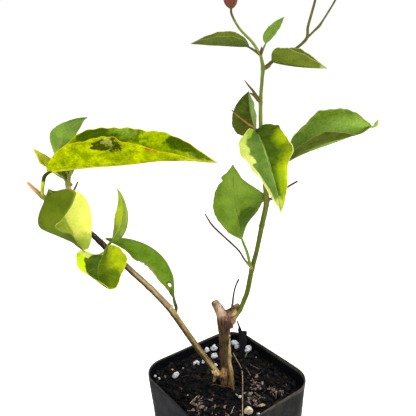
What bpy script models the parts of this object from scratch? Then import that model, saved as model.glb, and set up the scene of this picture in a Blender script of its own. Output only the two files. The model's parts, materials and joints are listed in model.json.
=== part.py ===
"""A young bougainvillea in its square nursery pot.

One old cutting stands in the pot and carries two shoots: a brown cane that
leans out to the left and a green one that climbs at the right.  Every shoot
is one tapering limb.  The foliage grows off the limbs as small masses, each
a petiole or twig with its leaves, thorns and buds fused to it.

The script works in millimetres and scales to metres as meshes are made.
+X is the plant's right, -Y its front, and Z is 0 at the pot's underside.
"""
import math

import bmesh
import bpy
from mathutils import Matrix, Vector

MM = 0.001            # one millimetre in metres
GAP = 0.35            # clearance between a twig and the limb that carries it
MERGE = 1e-6          # points closer than this, in metres, are one point
SHARP_ANGLE = 40      # degrees above which an edge stays sharp

# ---------------------------------------------------------------- pot, mm
POT_HEIGHT = 80.0
POT_RIM_SIDE = 63.5       # outside, across the flats at the rim
POT_FOOT_SIDE = 54.0      # outside, across the flats at the underside
POT_CORNER = 13.0         # corner radius at the rim
POT_WALL = 0.9
POT_FLOOR = 1.2
POT_LIP_HEIGHT = 3.0      # thickened band round the rim
POT_LIP_OUT = 0.5         # how far it stands out of the wall
POT_LIP_SLOPE = 0.3       # height over which the wall swells into it
POT_TURN = 37.5           # degrees that the pot is turned about Z
DRAIN_RADIUS = 3.5
DRAIN_OFFSET = 17.0       # drain holes, from the middle towards each corner
DRAIN_SIDES = 16
CORNER_STEPS = 6          # flats round each corner of the pot
TAG_WIDTH = 3.2           # plastic nib that leans in the back corner
TAG_FOOT = (10.6, 26.0)   # where it stands on the soil
TAG_HEAD = (10.8, 33.0)   # and where its top reaches
TAG_TOP = 85.0
TAG_THICKNESS = 0.7
TAG_CLEARANCE = 0.6       # between its foot and the soil
TAG_BARB = (2.2, 4.0)     # the torn corner's point: sideways and up
TAG_NOTCH = (0.6, 1.4)    # where the tear begins: sideways and down

# --------------------------------------------------------------- soil, mm
WALL_GAP = 0.3            # between the soil and the pot
SOIL_FRONT = 71.5         # surface height at the front of the pot
SOIL_BACK = 75.0          # and at the back
SOIL_MOUND = 1.4          # extra height heaped round the stem
MOUND_CENTRE = (1.0, -1.0)
MOUND_REACH = 15.0
SLOPE_START = -22.0       # the rise to the back begins at this Y
SLOPE_LENGTH = 30.0
LUMP_HEIGHT = 0.5         # soft lumps, and their pitch in X and Y
LUMP_PITCH = (3.1, 3.7)
LUMP_FREE = 6.0           # no lumps this close to the stem
SOIL_EDGE_DROP = 0.5      # the edge lies this far under the front surface
SOIL_RINGS = (1.0, 0.86, 0.70, 0.54, 0.40, 0.28, 0.18, 0.10)
FOOT_HEIGHT = 76.0        # level patch that the trunk stands on
FOOT_REACH = 5.5          # radius of that patch
FOOT_EASE = 5.0           # width over which it passes into the mound

# --------------------------------------------------------------- limbs, mm
TRUNK_RADIUS = 2.85
TRUNK_FLARE = 3.7
ROOT_GAP = 0.3            # between the trunk's foot and the soil
ROOT_TRIM = 1.0           # points of the trunk lower than this are levelled
TRUNK_SIDES = 3           # bevel resolution: 10 sides
LIMB_SIDES = 2            # bevel resolution: 8 sides
TWIG_SIDES = 1            # bevel resolution: 6 sides
LIMB_SPACING = 2.6        # between the rings of a limb
CANE_SPACING = 4.0        # of the two long shoots
STALK_SPACING = 3.5       # of the flower stalks
PETIOLE_SPACING = 2.2
READ_SPACING = 1.0        # between the points at which a limb is read
SEAT_RUN = 0.9            # how far a twig runs straight off the bark

# Leaf blades: thickness follows length, and no blade is thinner than this.
LEAF_THICKNESS = 0.8
THICKNESS_SHARE = 0.0115      # thickness of a long blade over its length
LEAF_OUTLINE = (0.62, 1.05)   # the outline's two exponents: widest a third
                              # of the way up, drawn out to a point
LEAF_ROWS = 11
LEAF_COLUMNS = 3          # to each side of the midrib
RAIL_SPACING = 0.8        # between the points of a cupped blade's rails
FLAT_CURL = 1e-4          # radians of curl that count as none
STALK_IN_BLADE = 0.3      # share of the blade that the petiole runs on into

# A bud is an egg: it narrows from one height on, and has soft ridges.
BUD_SHOULDER = 0.45
BUD_NARROWING = 0.45
BUD_TAPER = 0.6
BUD_RIDGE = 0.10

COLOURS = {
    "black plastic": (0.012, 0.013, 0.014),
    "soil": (0.020, 0.014, 0.010),
    "old bark": (0.230, 0.150, 0.085),
    "tan cane": (0.260, 0.180, 0.080),
    "green shoot": (0.110, 0.190, 0.025),
    "green leaf": (0.110, 0.230, 0.025),
    "dark leaf": (0.070, 0.120, 0.020),
    "yellow leaf": (0.420, 0.500, 0.020),
    "dry twig": (0.200, 0.140, 0.080),
}


# ------------------------------------------------------------ scene set-up
def clear_scene():
    for ob in list(bpy.data.objects):
        bpy.data.objects.remove(ob, do_unlink=True)


def new_collection(name):
    group = bpy.data.collections.new(name)
    bpy.context.scene.collection.children.link(group)
    return group


def material(name, roughness=0.6):
    mat = bpy.data.materials.get(name)
    if mat is None:
        mat = bpy.data.materials.new(name)
        mat.use_nodes = True
        shader = mat.node_tree.nodes["Principled BSDF"]
        shader.inputs["Base Color"].default_value = (*COLOURS[name], 1.0)
        shader.inputs["Roughness"].default_value = roughness
        shader.inputs["Metallic"].default_value = 0.0
    return mat


def add_object(name, mesh, group, mat=None):
    ob = bpy.data.objects.new(name, mesh)
    group.objects.link(ob)
    if mat is not None:
        mesh.materials.clear()
        mesh.materials.append(mat)
    return ob


def mesh_from_bmesh(name, bm):
    bmesh.ops.recalc_face_normals(bm, faces=bm.faces)
    mesh = bpy.data.meshes.new(name)
    bm.to_mesh(mesh)
    bm.free()
    return mesh


def freeze(ob):
    """Replace an object's mesh with what its modifiers make of it."""
    depsgraph = bpy.context.evaluated_depsgraph_get()
    mesh = bpy.data.meshes.new_from_object(ob.evaluated_get(depsgraph))
    ob.modifiers.clear()
    ob.data = mesh


def fuse(name, pieces, group, mat):
    """Join closed pieces into one closed body with a Boolean union."""
    body = pieces[0]
    if len(pieces) > 1:
        tools = new_collection(name + " pieces")
        for piece in pieces[1:]:
            for owner in list(piece.users_collection):
                owner.objects.unlink(piece)
            tools.objects.link(piece)
        union = body.modifiers.new("join", "BOOLEAN")
        union.operation = "UNION"
        union.operand_type = "COLLECTION"
        union.collection = tools
        union.solver = "EXACT"
        union.use_self = True
        freeze(body)
        for piece in list(tools.objects):
            bpy.data.objects.remove(piece, do_unlink=True)
        bpy.data.collections.remove(tools)
    body.name = name
    body.data.name = name
    body.data.materials.clear()
    body.data.materials.append(mat)
    for owner in list(body.users_collection):
        owner.objects.unlink(body)
    group.objects.link(body)
    body.data.shade_smooth()
    body.data.set_sharp_from_angle(angle=math.radians(SHARP_ANGLE))
    return body


# ---------------------------------------------------- pot, tag and soil
def rounded_square(side, corner, z, turn=POT_TURN, steps=CORNER_STEPS):
    """Points round a square with round corners, turned about Z."""
    half = side / 2 - corner
    points = []
    for quarter in range(4):
        middle = Vector((half, half, 0))
        middle.rotate(Matrix.Rotation(math.radians(90 * quarter), 3, "Z"))
        for step in range(steps + 1):
            angle = math.radians(90 * quarter + 90 * step / steps)
            point = middle + Vector((math.cos(angle), math.sin(angle), 0)) * corner
            point.rotate(Matrix.Rotation(math.radians(turn), 3, "Z"))
            points.append(Vector((point.x, point.y, z)))
    return points


def pot_side(z):
    """Outside width of the tapered wall at height z, below the lip."""
    wall_top = POT_RIM_SIDE - 2 * POT_LIP_OUT
    return POT_FOOT_SIDE + (wall_top - POT_FOOT_SIDE) * z / POT_HEIGHT


def inner_side(z):
    return pot_side(z) - 2 * POT_WALL


def corner_radius(side):
    return POT_CORNER * side / POT_RIM_SIDE


def skin_rings(bm, rings):
    """Skin closed rings of equal length one above the other."""
    rows = [[bm.verts.new(p * MM) for p in ring] for ring in rings]
    count = len(rows[0])
    for lower, upper in zip(rows, rows[1:]):
        for i in range(count):
            j = (i + 1) % count
            bm.faces.new((lower[i], lower[j], upper[j], upper[i]))
    return rows


def make_pot(group):
    lip_foot = POT_HEIGHT - POT_LIP_HEIGHT
    outside = [
        (0.0, pot_side(0)),
        (lip_foot, pot_side(lip_foot)),
        (lip_foot + POT_LIP_SLOPE, pot_side(lip_foot) + 2 * POT_LIP_OUT),
        (POT_HEIGHT, POT_RIM_SIDE),
    ]
    inside = [(POT_HEIGHT, inner_side(POT_HEIGHT)), (POT_FLOOR, inner_side(POT_FLOOR))]
    rings = [rounded_square(side, corner_radius(side), z) for z, side in outside + inside]
    bm = bmesh.new()
    rows = skin_rings(bm, rings)
    bm.faces.new(list(reversed(rows[0])))
    bm.faces.new(rows[-1])
    pot = add_object("pot", mesh_from_bmesh("pot", bm), group, material("black plastic", 0.45))
    cutters = new_collection("drain holes")
    for corner in range(4):
        angle = math.radians(POT_TURN + 45 + 90 * corner)
        bpy.ops.mesh.primitive_cylinder_add(
            vertices=DRAIN_SIDES, radius=DRAIN_RADIUS * MM, depth=4 * POT_FLOOR * MM,
            location=(DRAIN_OFFSET * math.cos(angle) * MM,
                      DRAIN_OFFSET * math.sin(angle) * MM, POT_FLOOR / 2 * MM))
        cutter = bpy.context.object
        for owner in list(cutter.users_collection):
            owner.objects.unlink(cutter)
        cutters.objects.link(cutter)
        cutter.hide_render = True
        cutter.display_type = "WIRE"
    holes = pot.modifiers.new("drain", "BOOLEAN")
    holes.operation = "DIFFERENCE"
    holes.operand_type = "COLLECTION"
    holes.collection = cutters
    holes.solver = "EXACT"
    freeze(pot)
    for cutter in list(cutters.objects):
        bpy.data.objects.remove(cutter, do_unlink=True)
    bpy.data.collections.remove(cutters)


def smooth_step(t):
    t = min(max(t, 0.0), 1.0)
    return t * t * (3 - 2 * t)


def soil_height(x, y):
    """Height of the soil: higher at the back, heaped round the stem."""
    level = SOIL_FRONT + (SOIL_BACK - SOIL_FRONT) * smooth_step((y - SLOPE_START) / SLOPE_LENGTH)
    reach = math.hypot(x - MOUND_CENTRE[0], y - MOUND_CENTRE[1])
    lumps = LUMP_HEIGHT * math.sin(x / LUMP_PITCH[0] + 1.0) * math.sin(y / LUMP_PITCH[1])
    lumps *= smooth_step((reach - LUMP_FREE) / LUMP_FREE)
    heaped = level + SOIL_MOUND * math.exp(-(reach / MOUND_REACH) ** 2) + lumps
    patch = smooth_step((reach - FOOT_REACH) / FOOT_EASE)
    return FOOT_HEIGHT + (heaped - FOOT_HEIGHT) * patch


def make_soil(group):
    bottom = POT_FLOOR + WALL_GAP
    top = SOIL_FRONT - SOIL_EDGE_DROP
    foot_ring, wall_ring = [
        rounded_square(inner_side(z) - 2 * WALL_GAP, corner_radius(inner_side(z)) - WALL_GAP, z)
        for z in (bottom, top)]
    rings = [foot_ring, wall_ring]
    for share in SOIL_RINGS:
        ring = []
        for point in wall_ring:
            x, y = point.x * share, point.y * share
            ring.append(Vector((x, y, soil_height(x, y))))
        rings.append(ring)
    bm = bmesh.new()
    rows = skin_rings(bm, rings)
    bm.faces.new(list(reversed(rows[0])))
    bm.faces.new(rows[-1])
    bmesh.ops.triangulate(bm, faces=list(bm.faces))
    add_object("soil", mesh_from_bmesh("soil", bm), group, material("soil", 0.95))


def make_corner_tag(group):
    """A slim nib of black plastic that leans in the pot's back corner."""
    foot = soil_height(*TAG_FOOT) + TAG_CLEARANCE
    half = TAG_WIDTH / 2
    outline = [
        (-half, foot), (half, foot), (half, TAG_TOP), (-half, TAG_TOP),
        (-half - TAG_BARB[0], TAG_TOP + TAG_BARB[1]),
        (-half - TAG_NOTCH[0], TAG_TOP - TAG_NOTCH[1]),
    ]
    bm = bmesh.new()
    face = []
    for x, z in outline:
        share = (z - foot) / (TAG_TOP - foot)
        middle_x = TAG_FOOT[0] + (TAG_HEAD[0] - TAG_FOOT[0]) * share
        middle_y = TAG_FOOT[1] + (TAG_HEAD[1] - TAG_FOOT[1]) * share
        face.append(bm.verts.new(Vector((middle_x + x, middle_y, z)) * MM))
    bm.faces.new(face)
    tag = add_object("corner_tag", mesh_from_bmesh("corner_tag", bm), group, material("black plastic", 0.45))
    shell = tag.modifiers.new("thickness", "SOLIDIFY")
    shell.thickness = TAG_THICKNESS * MM
    shell.offset = 0.0
    freeze(tag)


# ------------------------------------------------------------------ limbs
def spline_points(knots, spacing=LIMB_SPACING):
    """Smooth points (x, y, z, radius) through the knots of one limb."""
    knots = [tuple(k) for k in knots]
    first = tuple(2 * a - b for a, b in zip(knots[0], knots[1]))
    last = tuple(2 * a - b for a, b in zip(knots[-1], knots[-2]))
    padded = [first] + knots + [last]
    points = [knots[0]]
    for a, b, c, d in zip(padded, padded[1:], padded[2:], padded[3:]):
        length = math.dist(b[:3], c[:3])
        count = max(1, round(length / spacing))
        for step in range(1, count + 1):
            t = step / count
            points.append(tuple(
                0.5 * (2 * q + (r - p) * t + (2 * p - 5 * q + 4 * r - s) * t * t
                       + (3 * q - p - 3 * r + s) * t * t * t)
                for p, q, r, s in zip(a, b, c, d)))
    return points


def limb(name, knots, sides=LIMB_SIDES, spacing=LIMB_SPACING):
    """A closed tapering limb: a round curve with its own radius at each point."""
    points = spline_points(knots, spacing)
    curve = bpy.data.curves.new(name, "CURVE")
    curve.dimensions = "3D"
    curve.bevel_depth = MM
    curve.bevel_resolution = sides
    curve.use_fill_caps = True
    line = curve.splines.new("POLY")
    line.points.add(len(points) - 1)
    for target, (x, y, z, radius) in zip(line.points, points):
        target.co = (x * MM, y * MM, z * MM, 1.0)
        target.radius = radius
    source = bpy.data.objects.new(name + " curve", curve)
    bpy.context.scene.collection.objects.link(source)
    depsgraph = bpy.context.evaluated_depsgraph_get()
    mesh = bpy.data.meshes.new_from_object(source.evaluated_get(depsgraph))
    bm = bmesh.new()
    bm.from_mesh(mesh)
    bmesh.ops.remove_doubles(bm, verts=bm.verts, dist=MERGE)
    bmesh.ops.recalc_face_normals(bm, faces=bm.faces)
    bm.to_mesh(mesh)
    bm.free()
    ob = bpy.data.objects.new(name, mesh)
    ob.matrix_world = source.matrix_world
    bpy.context.scene.collection.objects.link(ob)
    bpy.data.objects.remove(source, do_unlink=True)
    return ob


def seat(knots, height, toward):
    """Where a twig leaves a limb: a hair off its bark, and the way out.

    The limb is read at the given height; the twig leaves it square to the
    bark on the side that faces the point `toward`.
    """
    points = spline_points(knots, READ_SPACING)
    index = min(range(1, len(points) - 1), key=lambda i: abs(points[i][2] - height))
    centre = Vector(points[index][:3])
    along = (Vector(points[index + 1][:3]) - Vector(points[index - 1][:3])).normalized()
    out = Vector(toward) - centre
    out = (out - along * out.dot(along)).normalized()
    start = centre + out * (points[index][3] + GAP)
    return start, out


def stem_knots(knots, height, path, radius):
    """Knots of a twig that starts on a limb and runs through the path."""
    start, out = seat(knots, height, path[0][:3])
    first = [(*start, radius), (*(start + out * SEAT_RUN), radius)]
    return first + [(*p, radius) if len(p) == 3 else tuple(p) for p in path]


# ------------------------------------------------------------------ leaves
class Leaf:
    """One blade: where it starts and how it bends, in mm and degrees.

    heading and rise turn from their first to their second value along the
    midrib; 0 heads to +X and 90 to the back.  fold lifts each half from flat,
    curl bends it on towards its edge, roll tips the blade about its midrib.
    """

    def __init__(self, base, length, width, heading, rise,
                 roll=(0, 0), fold=(30, 30), curl=(0, 0), outline=LEAF_OUTLINE):
        self.base = Vector(base)
        self.length = length
        self.width = width
        self.heading = heading
        self.rise = rise
        self.roll = roll
        self.fold = fold
        self.curl = curl
        self.outline = outline

    def frame(self, t):
        """Direction, right side and upper side of the midrib at t."""
        heading = math.radians(self.heading[0] + (self.heading[1] - self.heading[0]) * t)
        rise = math.radians(self.rise[0] + (self.rise[1] - self.rise[0]) * t)
        roll = math.radians(self.roll[0] + (self.roll[1] - self.roll[0]) * t)
        ahead = Vector((math.cos(heading) * math.cos(rise),
                        math.sin(heading) * math.cos(rise), math.sin(rise)))
        right = Vector((math.sin(heading), -math.cos(heading), 0.0))
        above = right.cross(ahead)
        side = right * math.cos(roll) + above * math.sin(roll)
        return ahead, side, side.cross(ahead)

    def midrib(self, t, steps=40):
        point = self.base.copy()
        count = max(1, round(steps * t))
        for step in range(count):
            ahead, _, _ = self.frame(t * (step + 0.5) / count)
            point += ahead * (self.length * t / count)
        return point

    def half_width(self, t):
        climb, fall = self.outline
        peak = climb / (climb + fall)
        height = peak ** climb * (1 - peak) ** fall
        return max(0.0, t) ** climb * max(0.0, 1 - t) ** fall / height

    def point(self, t, s):
        """A point of the blade: t from base to tip, s from -1 left to 1 right."""
        _, side, above = self.frame(t)
        half = 1 if s > 0 else 0
        fold = math.radians(self.fold[half])
        curl = math.radians(self.curl[half])
        share = abs(s)
        if abs(curl) < FLAT_CURL:
            out, up = share * math.cos(fold), share * math.sin(fold)
        else:
            out = (math.sin(fold + curl * share) - math.sin(fold)) / curl
            up = (math.cos(fold) - math.cos(fold + curl * share)) / curl
        reach = self.width[half] * self.half_width(t)
        return self.midrib(t) + (side * math.copysign(out, s) + above * up) * reach


class CuppedLeaf:
    """A blade stretched between three smooth rails: left edge, midrib, right edge."""

    def __init__(self, midrib, left, right):
        self.rails = {-1: left, 0: midrib, 1: right}
        self.base = Vector(midrib[0])
        self.length = sum(math.dist(a, b) for a, b in zip(midrib, midrib[1:]))

    def rail(self, which, t):
        knots = self.rails[which]
        points = spline_points([(*k, 0.0) for k in knots], RAIL_SPACING)
        lengths = [0.0]
        for a, b in zip(points, points[1:]):
            lengths.append(lengths[-1] + math.dist(a[:3], b[:3]))
        target = t * lengths[-1]
        for i in range(1, len(points)):
            if lengths[i] >= target - 1e-9:
                share = (target - lengths[i - 1]) / (lengths[i] - lengths[i - 1])
                return Vector(points[i - 1][:3]).lerp(Vector(points[i][:3]), share)
        return Vector(points[-1][:3])

    def midrib(self, t):
        return self.rail(0, t)

    def point(self, t, s):
        middle = self.rail(0, t)
        edge = self.rail(1 if s > 0 else -1, t)
        return middle.lerp(edge, abs(s))


def blade(name, leaf, rows=LEAF_ROWS, columns=LEAF_COLUMNS, thickness=LEAF_THICKNESS):
    """The closed solid of one leaf: a grid bent to shape and given thickness."""
    bm = bmesh.new()
    grid = []
    for i in range(rows + 1):
        t = i / rows
        if i in (0, rows):
            grid.append([bm.verts.new(leaf.midrib(t) * MM)] * (2 * columns + 1))
        else:
            row = [bm.verts.new(leaf.point(t, (j - columns) / columns) * MM)
                   for j in range(2 * columns + 1)]
            grid.append(row)
    for lower, upper in zip(grid, grid[1:]):
        for j in range(2 * columns):
            corners = [lower[j], lower[j + 1], upper[j + 1], upper[j]]
            unique = [v for k, v in enumerate(corners) if v not in corners[:k]]
            bm.faces.new(unique)
    ob = add_object(name, mesh_from_bmesh(name, bm), bpy.context.scene.collection)
    shell = ob.modifiers.new("thickness", "SOLIDIFY")
    shell.thickness = max(thickness, THICKNESS_SHARE * leaf.length) * MM
    shell.offset = 0.0
    freeze(ob)
    return ob


def leaf_on_stem(name, leaf, lead, radius=0.6):
    """A leaf and its petiole: the lead knots run on into the blade's midrib."""
    inner = []
    for step in range(4):
        share = step / 3
        inner.append((*leaf.midrib(share * STALK_IN_BLADE), radius * (1 - 0.5 * share)))
    petiole = limb(name + " petiole", lead + inner, TWIG_SIDES, PETIOLE_SPACING)
    return [blade(name, leaf), petiole]


def bud(name, foot, direction, length, width, lobes=3):
    """A closed flower bud: an egg with one soft ridge for each folded bract."""
    bm = bmesh.new()
    bmesh.ops.create_uvsphere(bm, u_segments=12, v_segments=8, radius=1.0)
    for vert in bm.verts:
        height = (vert.co.z + 1) / 2
        angle = math.atan2(vert.co.y, vert.co.x)
        swell = 1 - BUD_NARROWING * smooth_step((height - BUD_SHOULDER) / BUD_TAPER)
        ridge = 1 + BUD_RIDGE * math.cos(lobes * angle)
        vert.co.x *= width / 2 * swell * ridge
        vert.co.y *= width / 2 * swell * ridge
        vert.co.z = height * length
    turn = Vector(direction).to_track_quat("Z", "Y").to_matrix()
    for vert in bm.verts:
        vert.co = (turn @ vert.co + Vector(foot)) * MM
    return add_object(name, mesh_from_bmesh(name, bm), bpy.context.scene.collection)


# ------------------------------------------------- the plant's own skeleton
TRUNK = [
    (0.6, 0, FOOT_HEIGHT + ROOT_GAP, TRUNK_FLARE), (0.6, 0, 79, 3.2), (0, 0, 86, TRUNK_RADIUS),
    (-0.6, 0, 95, TRUNK_RADIUS), (-1, 0, 104, 2.95), (-1.6, 0, 111, 3.2),
    (-3, 0, 116.5, 2.5), (-6, 0, 122, 1.9),
]
ROOT_STRAND = [(1.9, -1.2, 86, 0.9), (2.7, -3.6, 81.5, 1.0), (3.3, -5.2, FOOT_HEIGHT + ROOT_GAP, 0.9)]
CALLUS = [(-1, -1, 81.6, 1.7), (-4, -2.5, 82.7, 1.8), (-5.5, -3, 84.8, 1.7), (-6.3, -3, 86.3, 1.6)]
KNOT = [(0, 0, 110.9, 2.2), (1.6, -0.4, 112.0, 2.1), (2.9, -0.5, 113.2, 1.9)]
CUT_STUB = [(-1, 0.4, 114.6, 1.9), (1.6, 2.2, 115.9, 1.35), (4.0, 3.4, 116.9, 1.2), (6.2, 4.4, 117.9, 1.1)]
DEAD_TWIG = [(2.6, 2.8, 116.2, 0.6), (2.9, 2.6, 118.5, 0.5), (3.4, 2.0, 124.6, 0.45), (5.6, 2.0, 133.0, 0.4)]

CANE = [
    (-6.5, -3, 86.8, 1.4), (-8, -3, 89.6, 1.35), (-14.3, -4, 100.6, 1.3), (-21.3, -5, 113.5, 1.3),
    (-26.7, -6, 122.7, 1.35), (-35.6, -7, 133.8, 1.2), (-42, -8, 141, 1.2), (-53.3, -11, 155, 1.2),
    (-59.2, -12, 162.2, 1.15), (-69.2, -14, 172.3, 1.1), (-77.6, -16, 181, 1.0), (-82.4, -18, 187.5, 0.6),
]
SHOOT = [
    (3.5, -0.8, 113.8, 1.6), (4.8, -0.8, 115.4, 1.55), (6.8, -0.6, 118.9, 1.4), (8.4, 0, 123, 1.25),
    (9.9, 0.5, 128, 1.15), (11.7, 1.8, 138, 1.05), (13.9, 2.6, 148, 1.0), (15.8, 3, 160.4, 1.0),
    (17.1, 3, 167.7, 1.0), (17.6, 3, 172.5, 1.2), (16.9, 3, 177.3, 0.95), (15.8, 3, 184.4, 0.9),
    (14.6, 3, 195.8, 0.85), (13.6, 3, 205.6, 0.85), (13.3, 4, 217.5, 0.75), (13.7, 4, 226, 0.7),
    (13.9, 4, 231, 0.7), (12.9, 4, 235.6, 0.65),
]

# -------------------------------------------------------------- the leaves
LONG_LEAF = Leaf((-74.8, -16, 192.2), 71, (17, 17.5), (13, -21), (3, 5), (13, -22), (53, 54))
BACK_LEAF = Leaf((-69, -4, 185), 35, (7.5, 7.5), (157, 0), (60, 24), (-2, -24), (32, 6), (45, 20))
NARROW_LEAF = Leaf((-70, -4, 184.5), 20.5, (5, 5), (182, 170), (28, 60), fold=(30, 32))
CURLED_LEAF = CuppedLeaf(
    [(-62, -18, 158), (-70, -20.5, 164.3), (-77.3, -22, 168.5), (-78.3, -22, 174.8),
     (-75.8, -21.5, 180.3), (-73.7, -20.5, 186)],
    [(-62, -18, 158), (-64.7, -25, 168), (-69.4, -29, 173.3), (-65, -31, 178.4),
     (-61, -28, 185.7), (-65.8, -24, 186.8), (-73.7, -20.5, 186)],
    [(-62, -18, 158), (-59.5, -15.8, 161), (-58, -15.8, 169.4), (-59, -16.4, 179),
     (-63, -17.5, 183.6), (-68, -18.8, 185), (-73.7, -20.5, 186)])
HANGING_LEAF = Leaf((-54, -14, 154.5), 21, (13, 12), (-107, -34), (-20, -50), (-21, 16), (19, 14), (28, 29))
UPRIGHT_LEAF = Leaf((-51.2, -9.5, 158), 34, (9, 9), (-53, -19), (14, 134), fold=(80, 90))
DROOPING_LEAF = Leaf((-25.6, -4, 127), 51, (8.5, 10), (200, 180), (104, -11), fold=(-92, -56),
                     outline=(0.95, 0.85))
LOWER_LEAF = Leaf((6.5, 0, 154.7), 35, (11.5, 14), (172, 100), (76, 83), (-24, 26), (-20, 30))
FRONT_LEAF = Leaf((11.4, -1.2, 205.7), 47.5, (10, 9.2), (-94, -54), (10, -77), (-26, 18), (7, 0))
BIG_LEAF = Leaf((26.3, 6, 190), 48, (18, 18), (24, 30), (20, 6), (-7, -45), (85, 54))
REAR_LEAF = Leaf((12.3, 10, 202.6), 19.5, (10, 7.5), (105, 116), (28, 89), (39, 29), (-11, 57))
TOP_RIGHT_LEAF = Leaf((17.8, 6, 233.6), 23, (9, 9.3), (-38, -4), (-9, 0), (-2, -11), (38, 56))
TOP_LEFT_LEAF = Leaf((7.9, 4, 239.7), 24, (7.3, 7.3), (185, 191), (2, 5), (7, -8), (35, 44))
SMALL_LEAF = Leaf((14.6, 4, 240.9), 13, (4.7, 5), (21, 24), (52, 50), fold=(15, 11))


def make_limbs(group):
    trunk = limb("trunk", TRUNK, TRUNK_SIDES)
    for vert in trunk.data.vertices:
        if vert.co.z < (FOOT_HEIGHT + ROOT_TRIM) * MM:
            vert.co.z = (FOOT_HEIGHT + ROOT_GAP) * MM
    strand = limb("root strand", ROOT_STRAND, TWIG_SIDES)
    for vert in strand.data.vertices:
        vert.co.z = max(vert.co.z, (FOOT_HEIGHT + ROOT_GAP) * MM)
    pieces = [trunk, strand, limb("callus", CALLUS), limb("knot", KNOT),
              limb("cut stub", CUT_STUB), limb("dead twig", DEAD_TWIG, TWIG_SIDES)]
    fuse("trunk", pieces, group, material("old bark", 0.85))
    fuse("left_cane", [limb("left_cane", CANE, spacing=CANE_SPACING)], group,
         material("tan cane", 0.6))
    fuse("right_shoot", [limb("right_shoot", SHOOT, spacing=CANE_SPACING)], group,
         material("green shoot", 0.5))


def make_left_masses(group):
    # the long yellow leaf on its bent petiole, next to the cane's tip
    lead = stem_knots(CANE, 181.0, [(-76.9, -18.4, 185.2), (-76.7, -17.8, 189)], 0.7)
    fuse("foliage_left_end", leaf_on_stem("long leaf", LONG_LEAF, lead, 0.7),
         group, material("yellow leaf", 0.45))
    # the forked side twig with two small leaves and a thorn
    lead = stem_knots(CANE, 172.3, [(-68.3, -10, 175.6), (-67.4, -6.5, 180.5), (-68.6, -4.6, 183.8)], 1.0)
    pieces = leaf_on_stem("back leaf", BACK_LEAF, lead, 0.9)
    pieces += leaf_on_stem("narrow leaf", NARROW_LEAF, [(-68.4, -4.4, 182.6, 0.8)], 0.6)
    pieces.append(limb("thorn", [(-67.6, -7.6, 179.8, 0.6), (-66, -9, 181.4, 0.45), (-63.8, -10, 184.6, 0.2)],
                       TWIG_SIDES))
    fuse("foliage_left_fork", pieces, group, material("green leaf", 0.5))
    # the cupped leaf that curls up in front of the cane
    lead = stem_knots(CANE, 158.0, [(-57.8, -15.4, 156.8), (-60.2, -17.4, 156.8)], 0.6)
    fuse("foliage_left_curled", leaf_on_stem("curled leaf", CURLED_LEAF, lead, 0.6),
         group, material("yellow leaf", 0.5))
    # two leaves and a dead scale from one node halfway up the cane
    lead = stem_knots(CANE, 154.4, [(-53.6, -13.6, 154.9)], 0.7)
    pieces = leaf_on_stem("hanging leaf", HANGING_LEAF, lead, 0.7)
    side = [(-53.3, -13.3, 154.9, 0.6), (-52.2, -11.6, 157.4, 0.6)]
    pieces += leaf_on_stem("upright leaf", UPRIGHT_LEAF, side, 0.6)
    fuse("foliage_left_middle", pieces, group, material("green leaf", 0.5))
    # the leaf that arches over and hangs along the cane
    lead = stem_knots(CANE, 118.0, [(-22.6, -4.4, 120.6), (-24.2, -4.1, 124.6)], 0.65)
    fuse("foliage_left_drooping", leaf_on_stem("drooping leaf", DROOPING_LEAF, lead, 0.7),
         group, material("green leaf", 0.5))


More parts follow.
